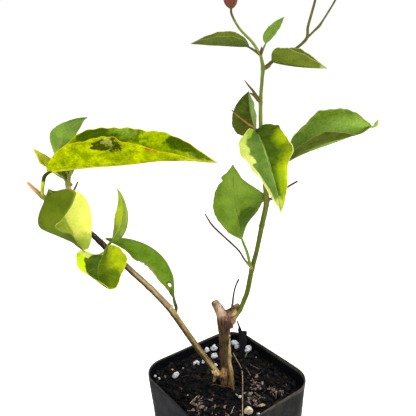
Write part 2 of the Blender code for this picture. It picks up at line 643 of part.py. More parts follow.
def make_right_masses(group):
    # broad leaf low on the shoot, with a long dead twig from the same node
    lead = stem_knots(SHOOT, 138.5, [(10.4, -0.8, 142.4), (8.9, -0.4, 148.3)], 0.75)
    pieces = leaf_on_stem("lower leaf", LOWER_LEAF, lead, 0.65)
    pieces.append(limb("long dead twig", [
        (10.6, -0.9, 141.0, 0.6), (7.6, -1.6, 145.4, 0.5), (4.7, -3, 150.6, 0.5), (-2.7, -5, 158.9, 0.45),
        (-7.2, -6, 164.1, 0.45), (-10.3, -6, 169.3, 0.4)], TWIG_SIDES, CANE_SPACING))
    fuse("foliage_right_lower", pieces, group, material("green leaf", 0.5))
    # the drawn-out leaf that hangs to the front, with the spine beside it
    lead = stem_knots(SHOOT, 204.8, [(12.6, -1, 205.4)], 0.65)
    pieces = leaf_on_stem("front leaf", FRONT_LEAF, lead, 0.65)
    pieces.append(limb("spine", [(11.8, -0.6, 205.6, 0.55), (10.4, -0.2, 206.6, 0.5), (7.7, 0, 208.3, 0.45),
                                 (3.1, -2, 212.3, 0.4), (0.7, -3, 214.8, 0.2)], TWIG_SIDES))
    fuse("foliage_right_front", pieces, group, material("dark leaf", 0.45))
    # the dark leaf behind the shoot
    lead = stem_knots(SHOOT, 203.0, [(12.6, 7, 202.6)], 0.55)
    fuse("foliage_right_rear", leaf_on_stem("rear leaf", REAR_LEAF, lead, 0.55),
         group, material("dark leaf", 0.5))
    # the large leaf that reaches out to the right, with its twisted drip tip
    lead = stem_knots(SHOOT, 184.4, [(19.5, 4, 186.2), (23.4, 5.4, 188.6)], 0.65)
    pieces = leaf_on_stem("big leaf", BIG_LEAF, lead, 0.65)
    tip = BIG_LEAF.midrib(0.97)
    pieces.append(limb("drip tip", [(*tip, 0.5), (*(tip + Vector((2.4, 0.2, 0.2))), 0.45),
                                    (*(tip + Vector((3.9, 0.2, 3.4))), 0.25)], TWIG_SIDES))
    fuse("foliage_right_big", pieces, group, material("green leaf", 0.45))
    # thorns that stand straight off the shoot
    point = [(21.5, 1.8, 174.6, 0.55), (26, 1, 179.2, 0.5), (30.1, 0, 182.3, 0.25)]
    thorn = stem_knots(SHOOT, 172.5, point, 0.7)
    fuse("thorn_middle", [limb("thorn_middle", thorn, TWIG_SIDES)], group, material("dry twig", 0.7))
    point = [(10.6, 3.6, 219.2, 0.75), (8.7, 3.4, 221.9, 0.55), (6.3, 3, 226, 0.25)]
    spur = stem_knots(SHOOT, 216.4, point, 0.8)
    tine = [(9.6, 3.5, 220.3, 0.5), (8.2, 4.4, 221.2, 0.45), (7.2, 5.2, 222.6, 0.25)]
    fuse("thorn_upper", [limb("thorn_upper", spur, TWIG_SIDES), limb("tine", tine, TWIG_SIDES)],
         group, material("dry twig", 0.7))


def make_top_masses(group):
    # folded leaf at the right with two flower stalks
    lead = stem_knots(SHOOT, 230.6, [(16.8, 5.6, 232.2)], 0.75)
    pieces = leaf_on_stem("top right leaf", TOP_RIGHT_LEAF, lead, 0.75)
    fork = (32.1, 8, 244.2)
    pieces.append(limb("flower stalk", [
        (16.4, 5.4, 231.9, 0.75), (19.4, 7.6, 234.6, 0.7), (26.6, 9, 239, 0.6), (*fork, 0.6),
        (32.4, 8, 247.8, 0.55), (33.8, 8, 257.5, 0.5), (34.6, 8, 265, 0.45)], TWIG_SIDES, STALK_SPACING))
    pieces.append(limb("second stalk", [
        (31.0, 8.2, 243.3, 0.5), (35.3, 8, 247, 0.45), (37, 8, 249, 0.6), (39.1, 8, 251.7, 0.42),
        (42.3, 8, 257.5, 0.4), (44.6, 8, 262.5, 0.4)], TWIG_SIDES, STALK_SPACING))
    pieces.append(bud("stalk bud", (34.5, 8, 264.2), (0.1, 0, 1), 5.5, 2.8))
    pieces.append(bud("second stalk bud", (44.4, 8, 262), (0.4, 0, 1), 5.0, 2.6))
    fuse("foliage_top_right", pieces, group, material("dark leaf", 0.5))
    # everything that grows on from the shoot's tip
    tip = Vector(SHOOT[-1][:3])
    below = Vector(SHOOT[-2][:3])
    up = (tip - below).normalized()
    start = tip + up * GAP
    crown = [(*start, 0.7), (*(start + up * 0.8), 0.7)]
    pieces = leaf_on_stem("top left leaf", TOP_LEFT_LEAF, crown + [(10.6, 4, 238.6, 0.55)], 0.5)
    side = [(*(start + up * 0.4), 0.6), (13.7, 4, 238.4, 0.45)]
    pieces += leaf_on_stem("small leaf", SMALL_LEAF, side, 0.4)
    pieces.append(limb("bract stalk", [
        (*(start + up * 0.3), 0.65), (9.5, 4.6, 240.9, 0.6), (4, 4.8, 246.5, 0.55), (0.7, 5, 251.9, 0.55),
        (0.3, 5, 255, 0.6)], TWIG_SIDES, STALK_SPACING))
    pieces.append(bud("bract bud", (0.3, 5, 253.6), (-0.05, 0, 1), 11.5, 6.8))
    pieces.append(bud("shoot tip", (12.7, 3.8, 236.4), (0.1, -0.1, 1), 3.6, 1.5))
    fuse("foliage_top", pieces, group, material("green leaf", 0.5))


def main():
    clear_scene()
    group = new_collection("bougainvillea")
    make_pot(group)
    make_corner_tag(group)
    make_soil(group)
    make_limbs(group)
    make_left_masses(group)
    make_right_masses(group)
    make_top_masses(group)


main()
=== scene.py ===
# %% [markdown]
# # A young bougainvillea in its nursery pot
# A rooted cutting stands in a small square pot of thin black plastic. Its
# cut-back stem carries two shoots: a brown cane that leans out to the left,
# and a green one that climbs at the right. Fourteen leaves, a few thorns,
# some dead twigs and three closed flower buds grow off them.
#
# The packed model is the frame. Every piece below is built where its plain
# solid stands, only finer, so nothing has to be fitted afterwards. Lengths
# are in millimetres until a mesh is made: +X is the plant's right, -Y its
# front, and Z is 0 at the pot's underside.

# %% Load the packed model
import json
import math
import random

import bmesh
import bpy
import numpy as np
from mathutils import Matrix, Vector, noise

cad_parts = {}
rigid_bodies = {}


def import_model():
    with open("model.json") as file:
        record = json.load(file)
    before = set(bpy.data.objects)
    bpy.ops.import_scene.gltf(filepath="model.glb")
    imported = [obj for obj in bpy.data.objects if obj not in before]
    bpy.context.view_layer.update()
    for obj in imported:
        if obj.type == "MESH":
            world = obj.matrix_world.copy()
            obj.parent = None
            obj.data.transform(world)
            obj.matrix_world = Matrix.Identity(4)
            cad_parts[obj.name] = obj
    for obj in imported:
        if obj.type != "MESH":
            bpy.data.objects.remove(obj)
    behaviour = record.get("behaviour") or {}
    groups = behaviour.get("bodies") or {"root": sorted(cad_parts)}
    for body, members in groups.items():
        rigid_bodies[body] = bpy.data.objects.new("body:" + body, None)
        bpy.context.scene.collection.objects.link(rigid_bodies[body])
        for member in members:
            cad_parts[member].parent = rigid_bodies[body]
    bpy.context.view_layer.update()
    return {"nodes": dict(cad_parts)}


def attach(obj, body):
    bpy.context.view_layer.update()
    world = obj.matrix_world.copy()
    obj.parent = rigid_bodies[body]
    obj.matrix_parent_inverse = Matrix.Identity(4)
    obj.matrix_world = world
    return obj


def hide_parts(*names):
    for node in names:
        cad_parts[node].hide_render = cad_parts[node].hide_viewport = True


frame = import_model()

MM = 0.001            # one millimetre in metres
print("plain solids:", ", ".join(sorted(frame["nodes"])))

# %% [markdown]
# ## The camera
# The plant is looked down on from a little above, about 26 cm away. A lens
# of about 52 mm on a 36 mm sensor frames it from there. The camera is only
# tipped, never rolled, so upright things stay upright.

# %% Camera
CAMERA_PLACE = (-9, -250.5, 266)
CAMERA_DIP = 21.0     # degrees that it looks down
CAMERA_LENS = 51.92


def show(thing):
    """Put an object in the scene."""
    bpy.context.scene.collection.objects.link(thing)


lens = bpy.data.cameras.new("camera")
lens.lens = CAMERA_LENS
lens.sensor_width = 36.0
lens.clip_start = 0.01
camera = bpy.data.objects.new("camera", lens)
camera.location = Vector(CAMERA_PLACE) * MM
camera.rotation_euler = (math.radians(90 - CAMERA_DIP), 0, 0)
show(camera)
bpy.context.scene.camera = camera
print("camera at", CAMERA_PLACE, "mm, tipped", CAMERA_DIP, "degrees")

# %% [markdown]
# ## A small language for finishes
# A finish is a node tree on the Principled shader. Written out node by node
# it is hard to read, so a helper class gives each kind of node one short
# word. A word takes sockets or plain values and hands on a socket. Patterns
# are measured in millimetres, so their grain is true to scale.

# %% Helper: paint
class Paint:
    """One material, and short words for the nodes in it."""

    def __init__(self, name, roughness=0.5, gloss=0.5):
        self.material = bpy.data.materials.new(name)
        self.material.use_nodes = True
        self.tree = self.material.node_tree
        self.shader = self.tree.nodes["Principled BSDF"]
        self.shader.inputs["Roughness"].default_value = roughness
        self.shader.inputs["Specular IOR Level"].default_value = gloss

    def feed(self, socket, value):
        if isinstance(value, bpy.types.NodeSocket):
            self.tree.links.new(value, socket)
        elif hasattr(value, "__len__") and len(value) == 3 and socket.type == "RGBA":
            socket.default_value = (*value, 1)
        else:
            socket.default_value = value

    def node(self, kind, inputs=(), **settings):
        made = self.tree.nodes.new("ShaderNode" + kind)
        for key, value in settings.items():
            setattr(made, key, value)
        for key, value in dict(inputs).items():
            self.feed(made.inputs[key], value)
        return made

    def here(self):
        """Where a point lies on the object, in millimetres."""
        place = self.node("TexCoord").outputs["Object"]
        return self.vector("SCALE", place, scale=1 / MM)

    def kept(self, name):
        """A vector that the mesh keeps for each of its corners."""
        return self.node("Attribute", attribute_name=name).outputs["Vector"]

    def split(self, vector):
        return self.node("SeparateXYZ", {0: vector}).outputs

    def vector(self, operation, a, b=(0, 0, 0), scale=1):
        made = self.node("VectorMath", {0: a, 1: b, 3: scale}, operation=operation)
        return made.outputs[1 if operation in ("LENGTH", "DOT_PRODUCT") else 0]

    def stretch(self, where, factors):
        """A place scaled along each axis, which draws a pattern out."""
        return self.vector("MULTIPLY", where, factors)

    def maths(self, operation, a, b=0, c=0):
        return self.node("Math", {0: a, 1: b, 2: c}, operation=operation).outputs[0]

    def times(self, a, b):
        return self.maths("MULTIPLY", a, b)

    def noise(self, where, size, detail=2, rough=0.5):
        """Soft random values from 0 to 1; size is the width of a spot in mm."""
        made = self.node("TexNoise", {"Vector": where, "Scale": 1 / size, "Detail": detail,
                                      "Roughness": rough})
        return made.outputs["Fac"]

    def cells(self, where, size, feature="F1"):
        """Distance to the nearest of many scattered points or cell walls."""
        made = self.node("TexVoronoi", {"Vector": where, "Scale": 1 / size}, feature=feature)
        return made.outputs["Distance"]

    def ramp(self, value, low, high, start=0, end=1):
        """A smooth step from start to end as value goes from low to high."""
        made = self.node("MapRange", {0: value, 1: low, 2: high, 3: start, 4: end},
                         interpolation_type="SMOOTHSTEP")
        return made.outputs[0]

    def mix(self, share, first, second):
        made = self.node("Mix", {0: share, 6: first, 7: second}, data_type="RGBA")
        return made.outputs[2]

    def lay(self, tone, share, strength, colour):
        """Lay a colour over a tone where share is 1, as strongly as strength."""
        return self.mix(self.times(share, strength), tone, colour)

    def spot(self, where, centre, radii, softness=0.3):
        """1 inside an ellipsoid and 0 outside it, with a soft border."""
        away = self.stretch(self.vector("SUBTRACT", where, centre), tuple(1 / r for r in radii))
        return self.ramp(self.vector("LENGTH", away), 1 - softness, 1 + softness, 1, 0)

    def colour(self, value):
        self.feed(self.shader.inputs["Base Color"], value)

    def roughness(self, value):
        self.feed(self.shader.inputs["Roughness"], value)

    def bump(self, height, depth):
        """Raise the surface by depth millimetres where height is 1."""
        made = self.node("Bump", {"Height": height, "Distance": depth * MM, "Strength": 1.0})
        self.feed(self.shader.inputs["Normal"], made.outputs[0])


print("paint words:", ", ".join(w for w in vars(Paint) if not w.startswith("_")))

# %% [markdown]
# ## Floor and light
# A plain white floor runs out to the horizon under an even white sky, so
# the plant stands in clean, bright light with hardly a shadow. One broad
# lamp, high at the right and a little behind, models the leaves. A second,
# weaker one fills in from the front left. The standard view transform keeps
# the greens as strong as they are painted.

# %% Floor and light
FLOOR_SIZE = 30000.0
SKY_STRENGTH = 1.05


def lamp(name, place, target, size, power):
    """A square soft box that looks at a target; power is in watts."""
    light = bpy.data.lights.new(name, "AREA")
    light.size = size * MM
    light.energy = power
    box = bpy.data.objects.new(name, light)
    box.location = Vector(place) * MM
    box.rotation_euler = (Vector(target) - Vector(place)).to_track_quat("-Z", "Y").to_euler()
    show(box)


half = FLOOR_SIZE / 2 * MM
floor_mesh = bpy.data.meshes.new("floor")
floor_mesh.from_pydata([(-half, -half, 0), (half, -half, 0), (half, half, 0), (-half, half, 0)],
                       [], [(0, 1, 2, 3)])
floor = bpy.data.objects.new("floor", floor_mesh)
show(floor)
floor_paint = Paint("white floor", roughness=0.9, gloss=0)
floor_tone = floor_paint.noise(floor_paint.here(), 400)
floor_paint.colour(floor_paint.mix(floor_tone, (0.98, 0.98, 0.98), (0.96, 0.96, 0.96)))
floor_mesh.materials.append(floor_paint.material)

sky = bpy.data.worlds.new("white sky")
sky.use_nodes = True
sky.node_tree.nodes["Background"].inputs["Color"].default_value = (1, 1, 1, 1)
sky.node_tree.nodes["Background"].inputs["Strength"].default_value = SKY_STRENGTH
bpy.context.scene.world = sky
bpy.context.scene.view_settings.view_transform = "Standard"

lamp("key lamp", (520, 160, 780), (0, 0, 160), 420, 9)
lamp("fill lamp", (-420, -620, 520), (0, 0, 160), 600, 3)
print("floor, sky and 2 lamps")

# %% [markdown]
# ## From numbers to pieces
# Most pieces are skins over a line or a grid that is worked out first. One
# helper turns corners and faces into an object and says which body it rides
# on and which plain solid it stands for.
# A piece may keep vectors for its corners, such as the way its grain runs,
# for its finish to read.

# %% Helper: skins
class Skin:
    """A mesh in the making: corners in mm, faces, and vectors kept for each corner."""

    def __init__(self):
        self.corners = np.zeros((0, 3))
        self.faces = []
        self.slots = []
        self.kept = {}

    def add(self, corners, faces, slot=0, **kept):
        start = len(self.corners)
        self.corners = np.vstack([self.corners, corners])
        self.faces += [tuple(i + start for i in face) for face in faces]
        self.slots += [slot] * len(faces)
        for name, values in kept.items():
            before = self.kept.get(name, np.zeros((start, 3)))
            self.kept[name] = np.vstack([before, values])
        return self

    def mesh(self, name):
        made = bpy.data.meshes.new(name)
        made.from_pydata((self.corners * MM).tolist(), [], self.faces)
        return made


def corners_of(mesh):
    """A mesh's corners in mm."""
    corners = np.zeros(len(mesh.vertices) * 3)
    mesh.vertices.foreach_get("co", corners)
    return corners.reshape(-1, 3) / MM


def move_corners(mesh, corners):
    mesh.vertices.foreach_set("co", (corners * MM).ravel())
    mesh.update()


# %% Helper: pieces
shown = {}            # how many faces each piece has


def face_outwards(mesh):
    """Turn every face so that its front is outside."""
    bm = bmesh.new()
    bm.from_mesh(mesh)
    bmesh.ops.recalc_face_normals(bm, faces=bm.faces)
    bm.to_mesh(mesh)
    bm.free()


def make_piece(name, skin, finishes, replaces=()):
    """Turn a skin into a shown object that rides on the plant."""
    mesh = skin.mesh(name)
    face_outwards(mesh)
    for key, values in skin.kept.items():
        layer = mesh.attributes.new(key, "FLOAT_VECTOR", "POINT")
        layer.data.foreach_set("vector", np.asarray(values, np.float32).ravel())
    for finish in finishes if isinstance(finishes, list) else [finishes]:
        mesh.materials.append(finish)
    mesh.polygons.foreach_set("material_index", skin.slots)
    mesh.shade_smooth()
    piece = bpy.data.objects.new(name, mesh)
    show(piece)
    dress(piece, replaces)
    return piece


def dress(piece, replaces=()):
    """Say what a finished object rides on and stands for."""
    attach(piece, "root")
    if replaces:
        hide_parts(*replaces)
    shown[piece.name] = len(piece.data.polygons)


def unit(vectors):
    """Vectors of length 1."""
    vectors = np.asarray(vectors, float)
    length = np.linalg.norm(vectors, axis=-1, keepdims=True)
    return vectors / np.maximum(length, 1e-9)


def lumps(points, size, seed=0):
    """Soft random values from -1 to 1 at each point; size in mm."""
    shift = Vector((seed * 17.3, seed * 5.1, seed * 9.7))
    return np.array([noise.noise(Vector(p) / size + shift) for p in points])


print("skins become pieces with make_piece")

# %% [markdown]
# ## The pot
# The pot is thin black plastic, formed in one piece: a square with round
# corners that narrows towards its foot, and four holes in its floor. A stack
# of rounded squares is skinned from the foot up the outside, over the rim
# and down inside to the floor. The rim is only as thick as the wall, with a
# softened edge that catches the light.

# %% Pot: shape
POT_HEIGHT = 80.0
POT_RIM_SIDE = 63.5
POT_FOOT_SIDE = 54.0
POT_CORNER = 13.0
POT_WALL = 0.7
POT_FLOOR = 1.2
POT_TURN = 37.5       # degrees about Z
DRAIN_RADIUS = 3.5
DRAIN_OFFSET = 17.0   # from the middle towards each corner
CORNER_STEPS = 14


def pot_side(z):
    """Outside width of the tapered wall at height z."""
    return POT_FOOT_SIDE + (POT_RIM_SIDE - POT_FOOT_SIDE) * z / POT_HEIGHT


def spun(x, y, degrees):
    """A point turned about Z."""
    turn = math.radians(degrees)
    return x * math.cos(turn) - y * math.sin(turn), x * math.sin(turn) + y * math.cos(turn)


def rounded_square(side, z, inset=0, flat_steps=8):
    """Points round a square with round corners, turned as the pot is."""
    corner = POT_CORNER * side / POT_RIM_SIDE
    half = side / 2 - corner
    points = []
    for quarter in range(4):
        for step in range(CORNER_STEPS + 1):
            angle = math.radians(90 * step / CORNER_STEPS)
            x = half + (corner - inset) * math.cos(angle)
            y = half + (corner - inset) * math.sin(angle)
            points.append(spun(x, y, 90 * quarter))
        end_x, end_y = points[-1]
        next_x, next_y = spun(half + corner - inset, half, 90 * (quarter + 1))
        for step in range(1, flat_steps):
            share = step / flat_steps
            points.append((end_x + (next_x - end_x) * share, end_y + (next_y - end_y) * share))
    return np.array([(*spun(x, y, POT_TURN), z) for x, y in points])


def ring_faces(rows, count):
    """Faces of a closed skin over a stack of rings, with a cap at either end."""
    faces = [(r * count + i, r * count + (i + 1) % count, (r + 1) * count + (i + 1) % count,
              (r + 1) * count + i) for r in range(rows - 1) for i in range(count)]
    return faces + [tuple(reversed(range(count))), tuple(range((rows - 1) * count, rows * count))]


def skin_rings(rings):
    return np.vstack(rings), ring_faces(len(rings), len(rings[0]))


def pot_skin():
    outside = [(0, 1.3), (0.3, 0.5), (1.2, 0), (20, 0), (40, 0), (60, 0), (74, 0), (78.2, 0),
               (79.6, 0), (79.9, 0.1), (POT_HEIGHT, 0.25)]
    inside = [(POT_HEIGHT, POT_WALL - 0.25), (79.9, POT_WALL - 0.1), (79.6, POT_WALL),
              (60, POT_WALL), (30, POT_WALL), (POT_FLOOR + 1, POT_WALL), (POT_FLOOR, POT_WALL + 1)]
    rings = [rounded_square(pot_side(z), z, inset) for z, inset in outside + inside]
    return skin_rings(rings)


# %% Pot: drain holes
def drill_drains(pot):
    """Cut the four drain holes with a Boolean and apply it."""
    cutters = bpy.data.collections.new("drain drills")
    for corner in range(4):
        angle = math.radians(POT_TURN + 45 + 90 * corner)
        bpy.ops.mesh.primitive_cylinder_add(
            vertices=48, radius=DRAIN_RADIUS * MM, depth=6 * POT_FLOOR * MM,
            location=(DRAIN_OFFSET * math.cos(angle) * MM, DRAIN_OFFSET * math.sin(angle) * MM, 0))
        drill = bpy.context.object
        for owner in list(drill.users_collection):
            owner.objects.unlink(drill)
        cutters.objects.link(drill)
    cut = pot.modifiers.new("drains", "BOOLEAN")
    cut.operation = "DIFFERENCE"
    cut.operand_type = "COLLECTION"
    cut.collection = cutters
    cut.solver = "EXACT"
    bake_modifiers(pot)
    for drill in list(cutters.objects):
        bpy.data.objects.remove(drill, do_unlink=True)
    bpy.data.collections.remove(cutters)


def bake_modifiers(piece):
    """Replace a piece's mesh with what its modifiers make of it."""
    ready = piece.evaluated_get(bpy.context.evaluated_depsgraph_get())
    piece.data = bpy.data.meshes.new_from_object(ready)
    piece.modifiers.clear()


# %% [markdown]
# Black nursery plastic is never quite black. It has a faint satin sheen and
# fine upright drag lines from the mould, its rim is painted paler as a painted
# highlight along the edge, and potting mix leaves brown dust in patches. The
# finish is a near-black base with each of these laid over it by a soft noise.
# The wall's inner face is painted darker, as painted shade inside the pot:
# there the surface faces the pot's axis, which a dot product tells.

# %% Pot: finish
def pot_finish():
    paint = Paint("black nursery plastic", gloss=0.022)
    here = paint.here()
    z = paint.split(here)[2]
    tone = paint.noise(here, 9, 3)
    base = paint.mix(tone, (0.0045, 0.005, 0.0055), (0.01, 0.0105, 0.0115))
    dust = paint.ramp(paint.noise(here, 2.2, 4, 0.65), 0.54, 0.7)
    dust = paint.times(dust, paint.ramp(paint.noise(here, 22, 2), 0.4, 0.62))
    base = paint.lay(base, dust, 0.55, (0.034, 0.027, 0.019))
    stain = paint.ramp(paint.noise(here, 4, 5, 0.7), 0.4, 0.72)
    stain = paint.times(stain, paint.spot(here, (24, -20, 68), (18, 20, 16), 0.8))
    base = paint.lay(base, stain, 0.7, (0.03, 0.028, 0.016))
    # painted highlight: a paler band along the top of the rim
    rim_highlight_band = paint.ramp(z, POT_HEIGHT - 1, POT_HEIGHT - 0.1)
    rim_highlight = paint.times(rim_highlight_band, paint.ramp(paint.noise(here, 3, 3), 0.3, 0.7, 0.35, 1))
    base = paint.mix(rim_highlight, base, (0.06, 0.056, 0.048))
    # painted shade: the wall's inner face is painted darker inside the pot
    outwards = paint.vector("DOT_PRODUCT", paint.node("NewGeometry").outputs["Normal"],
                            paint.stretch(here, (1, 1, 0)))
    inner_wall_shade = paint.times(paint.ramp(outwards, -12, -4, 0.85, 0),
                       paint.ramp(z, POT_HEIGHT - 1.2, POT_HEIGHT - 0.4, 1, 0))
    base = paint.mix(inner_wall_shade, base, (0.0018, 0.0021, 0.0026))
    paint.colour(base)
    paint.roughness(paint.ramp(tone, 0.3, 0.7, 0.42, 0.62))
    drag = paint.stretch(here, (1, 1, 0.04))
    grain = paint.maths("ADD", paint.noise(drag, 0.8, 2), paint.noise(here, 0.5, 2))
    paint.bump(grain, 0.05)
    return paint.material


# %% Pot: lean and assembly
RIM_BEND_START = 58.0
RIM_LIFTS = [(-7.5, 1.4), (-97.5, -1.1), (82.5, 0.5)]     # direction of the corner, lift
WALL_BEND = 0.9
WALL_BEND_END = 48.0
SHARP_ANGLE = 35      # degrees from which an edge is drawn sharp


def lean_pot(mesh):
    """Pull the soft rim up and down at its corners and bend the wall a little."""
    corners = corners_of(mesh)
    angle = np.degrees(np.arctan2(corners[:, 1], corners[:, 0]))
    high = np.clip((corners[:, 2] - RIM_BEND_START) / (POT_HEIGHT - RIM_BEND_START), 0, 1)
    for at, lift in RIM_LIFTS:
        corner = np.clip(np.cos(np.radians(angle - at)), 0, 1) ** 1.5
        corners[:, 2] += lift * corner * high
    low = np.clip((POT_HEIGHT - corners[:, 2]) / (POT_HEIGHT - WALL_BEND_END), 0, 1)
    corners[:, 0] += WALL_BEND * low * low * (3 - 2 * low)
    move_corners(mesh, corners)


pot = make_piece("nursery_pot", Skin().add(*pot_skin()), pot_finish(), ["pot"])
drill_drains(pot)
lean_pot(pot.data)
pot.data.set_sharp_from_angle(angle=math.radians(SHARP_ANGLE))
print("pot:", len(pot.data.polygons), "faces,", POT_RIM_SIDE, "mm across the rim")

# %% [markdown]
# ## The potting mix
# The mix is dark peat with bark and perlite in it. It lies a little below
# the rim, higher at the back than at the front, and is heaped round the stem.
# A flat plane with a bump would look like paint so close up. The surface is
# a close stack of shrinking rings, roughened by three sizes of lumps, and
# loose crumbs are strewn over it.

# %% Soil: surface
SOIL_FRONT = 71.5
SOIL_BACK = 75.0
SLOPE_START = -22.0   # y at which the mix begins to rise towards the back
SLOPE_LENGTH = 30.0
SOIL_MOUND = 1.4
MOUND_CENTRE = (1, -1)
MOUND_REACH = 15.0
LUMP_HEIGHT = 0.5
LUMP_PITCH = (3.1, 3.7)
LUMP_FREE = 6.0       # no lumps this near to the stem
FOOT_HEIGHT = 76.0
FOOT_REACH = 5.5
FOOT_EASE = 5.0
SOIL_CLEARANCE = 0.25
SOIL_FLAT_STEPS = 40
SOIL_RINGS = 58
SOIL_SIDE = pot_side(SOIL_BACK) - 2 * (POT_WALL + SOIL_CLEARANCE)


def smooth_step(t):
    t = np.clip(t, 0, 1)
    return t * t * (3 - 2 * t)


def soil_height(x, y):
    """Height of the mix: higher at the back, heaped round the stem."""
    level = SOIL_FRONT + (SOIL_BACK - SOIL_FRONT) * smooth_step((y - SLOPE_START) / SLOPE_LENGTH)
    reach = np.hypot(x - MOUND_CENTRE[0], y - MOUND_CENTRE[1])
    swell = LUMP_HEIGHT * np.sin(x / LUMP_PITCH[0] + 1) * np.sin(y / LUMP_PITCH[1])
    swell = swell * smooth_step((reach - LUMP_FREE) / LUMP_FREE)
    heaped = level + SOIL_MOUND * np.exp(-(reach / MOUND_REACH) ** 2) + swell
    patch = smooth_step((reach - FOOT_REACH) / FOOT_EASE)
    return FOOT_HEIGHT + (heaped - FOOT_HEIGHT) * patch


def soil_skin():
    bottom = POT_FLOOR + SOIL_CLEARANCE
    gap = 2 * (POT_WALL + SOIL_CLEARANCE)
    rings = [rounded_square(pot_side(z) - gap, z, inset, SOIL_FLAT_STEPS)
             for z, inset in [(bottom, 1.5), (bottom + 2, 0), (SOIL_FRONT - 1, 0)]]
    edge = rounded_square(SOIL_SIDE, 0, 0, SOIL_FLAT_STEPS)
    for row in range(SOIL_RINGS):
        share = 1 - row / (SOIL_RINGS + 1)
        ring = edge * share
        ring[:, 2] = soil_height(ring[:, 0], ring[:, 1])
        rough = 0.75 * lumps(ring, 3.4, 1) + 0.45 * lumps(ring, 1.4, 2) + 0.25 * lumps(ring, 0.7, 3)
        ring[:, 2] += rough * (0.55 if row == 0 else 1)
        rings.append(ring)
    return skin_rings(rings)


# %% [markdown]
# Wet peat is almost black, with paler crumbs in it. Its finish mixes three
# dark tones by noise in two sizes, stays fully rough, and has a fine crumbly
# bump.

# %% Soil: finish
def peat_finish(name, dark, middle, pale):
    paint = Paint(name, roughness=0.95, gloss=0.01)
    here = paint.here()
    tone = paint.mix(paint.ramp(paint.noise(here, 2.6, 4, 0.6), 0.42, 0.62), dark, middle)
    fleck = paint.ramp(paint.noise(here, 0.9, 3, 0.6), 0.62, 0.7)
    paint.colour(paint.mix(fleck, tone, pale))
    crumbs = paint.maths("ADD", paint.noise(here, 0.5, 4, 0.7), paint.cells(here, 0.9))
    paint.bump(crumbs, 0.35)
    return paint.material


peat = peat_finish("dark peat", (0.0034, 0.0034, 0.0038), (0.0084, 0.0082, 0.0086),
                   (0.024, 0.021, 0.02))
potting_mix = make_piece("potting_mix", Skin().add(*soil_skin()), peat, ["soil"])
print("potting mix:", len(potting_mix.data.polygons), "faces")

# %% [markdown]
# ## Crumbs, bark, perlite and fibres
# What lies loose on the mix gives it its scale. Crumbs and grains are small
# balls that are stretched and dented by noise, bark chips are the same ball
# pressed flat, and fibres are thin bent tubes. A seeded random generator
# strews them, so they fall the same way each time. Each kind is one joined
# mesh. The perlite and the chips that catch the eye are placed one by one.

# %% Helper: balls
def ball(subdivisions):
    """Corners and faces of an even ball of radius 1."""
    bm = bmesh.new()
    bmesh.ops.create_icosphere(bm, subdivisions=subdivisions, radius=1)
    corners = np.array([v.co for v in bm.verts])
    faces = [tuple(v.index for v in f.verts) for f in bm.faces]
    bm.free()
    return corners, faces


def turned(points, spin, tilt):
    """Points turned by tilt about Y and then by spin about Z, in degrees."""
    a, b = math.radians(spin), math.radians(tilt)
    about_y = np.array([[math.cos(b), 0, math.sin(b)], [0, 1, 0], [-math.sin(b), 0, math.cos(b)]])
    about_z = np.array([[math.cos(a), -math.sin(a), 0], [math.sin(a), math.cos(a), 0], [0, 0, 1]])
    return points @ (about_z @ about_y).T


def grain_of_mix(shape, place, radii, seed, dent, spin, tilt):
    """One irregular grain: a dented, stretched and turned ball."""
    corners, faces = shape
    swell = 1 + dent * lumps(corners, 0.9, seed) + 0.4 * dent * lumps(corners, 0.4, seed + 0.5)
    corners = turned(corners * swell[:, None] * np.array(radii), spin, tilt)
    return corners + np.array(place), faces


# %% Helper: lines and tubes
def smooth_line(knots, spacing=0.8):
    """Points (x, y, z, radius) on a smooth line through the knots."""
    knots = np.array(knots, float)
    padded = np.vstack([2 * knots[0] - knots[1], knots, 2 * knots[-1] - knots[-2]])
    rows = [knots[0]]
    for a, b, c, d in zip(padded, padded[1:], padded[2:], padded[3:]):
        count = max(1, round(float(np.linalg.norm((c - b)[:3])) / spacing))
        t = (np.arange(1, count + 1) / count)[:, None]
        bend = 2 * b + (c - a) * t + (2 * a - 5 * b + 4 * c - d) * t ** 2 + (3 * b - a - 3 * c + d) * t ** 3
        rows.extend(0.5 * bend)
    return np.array(rows)


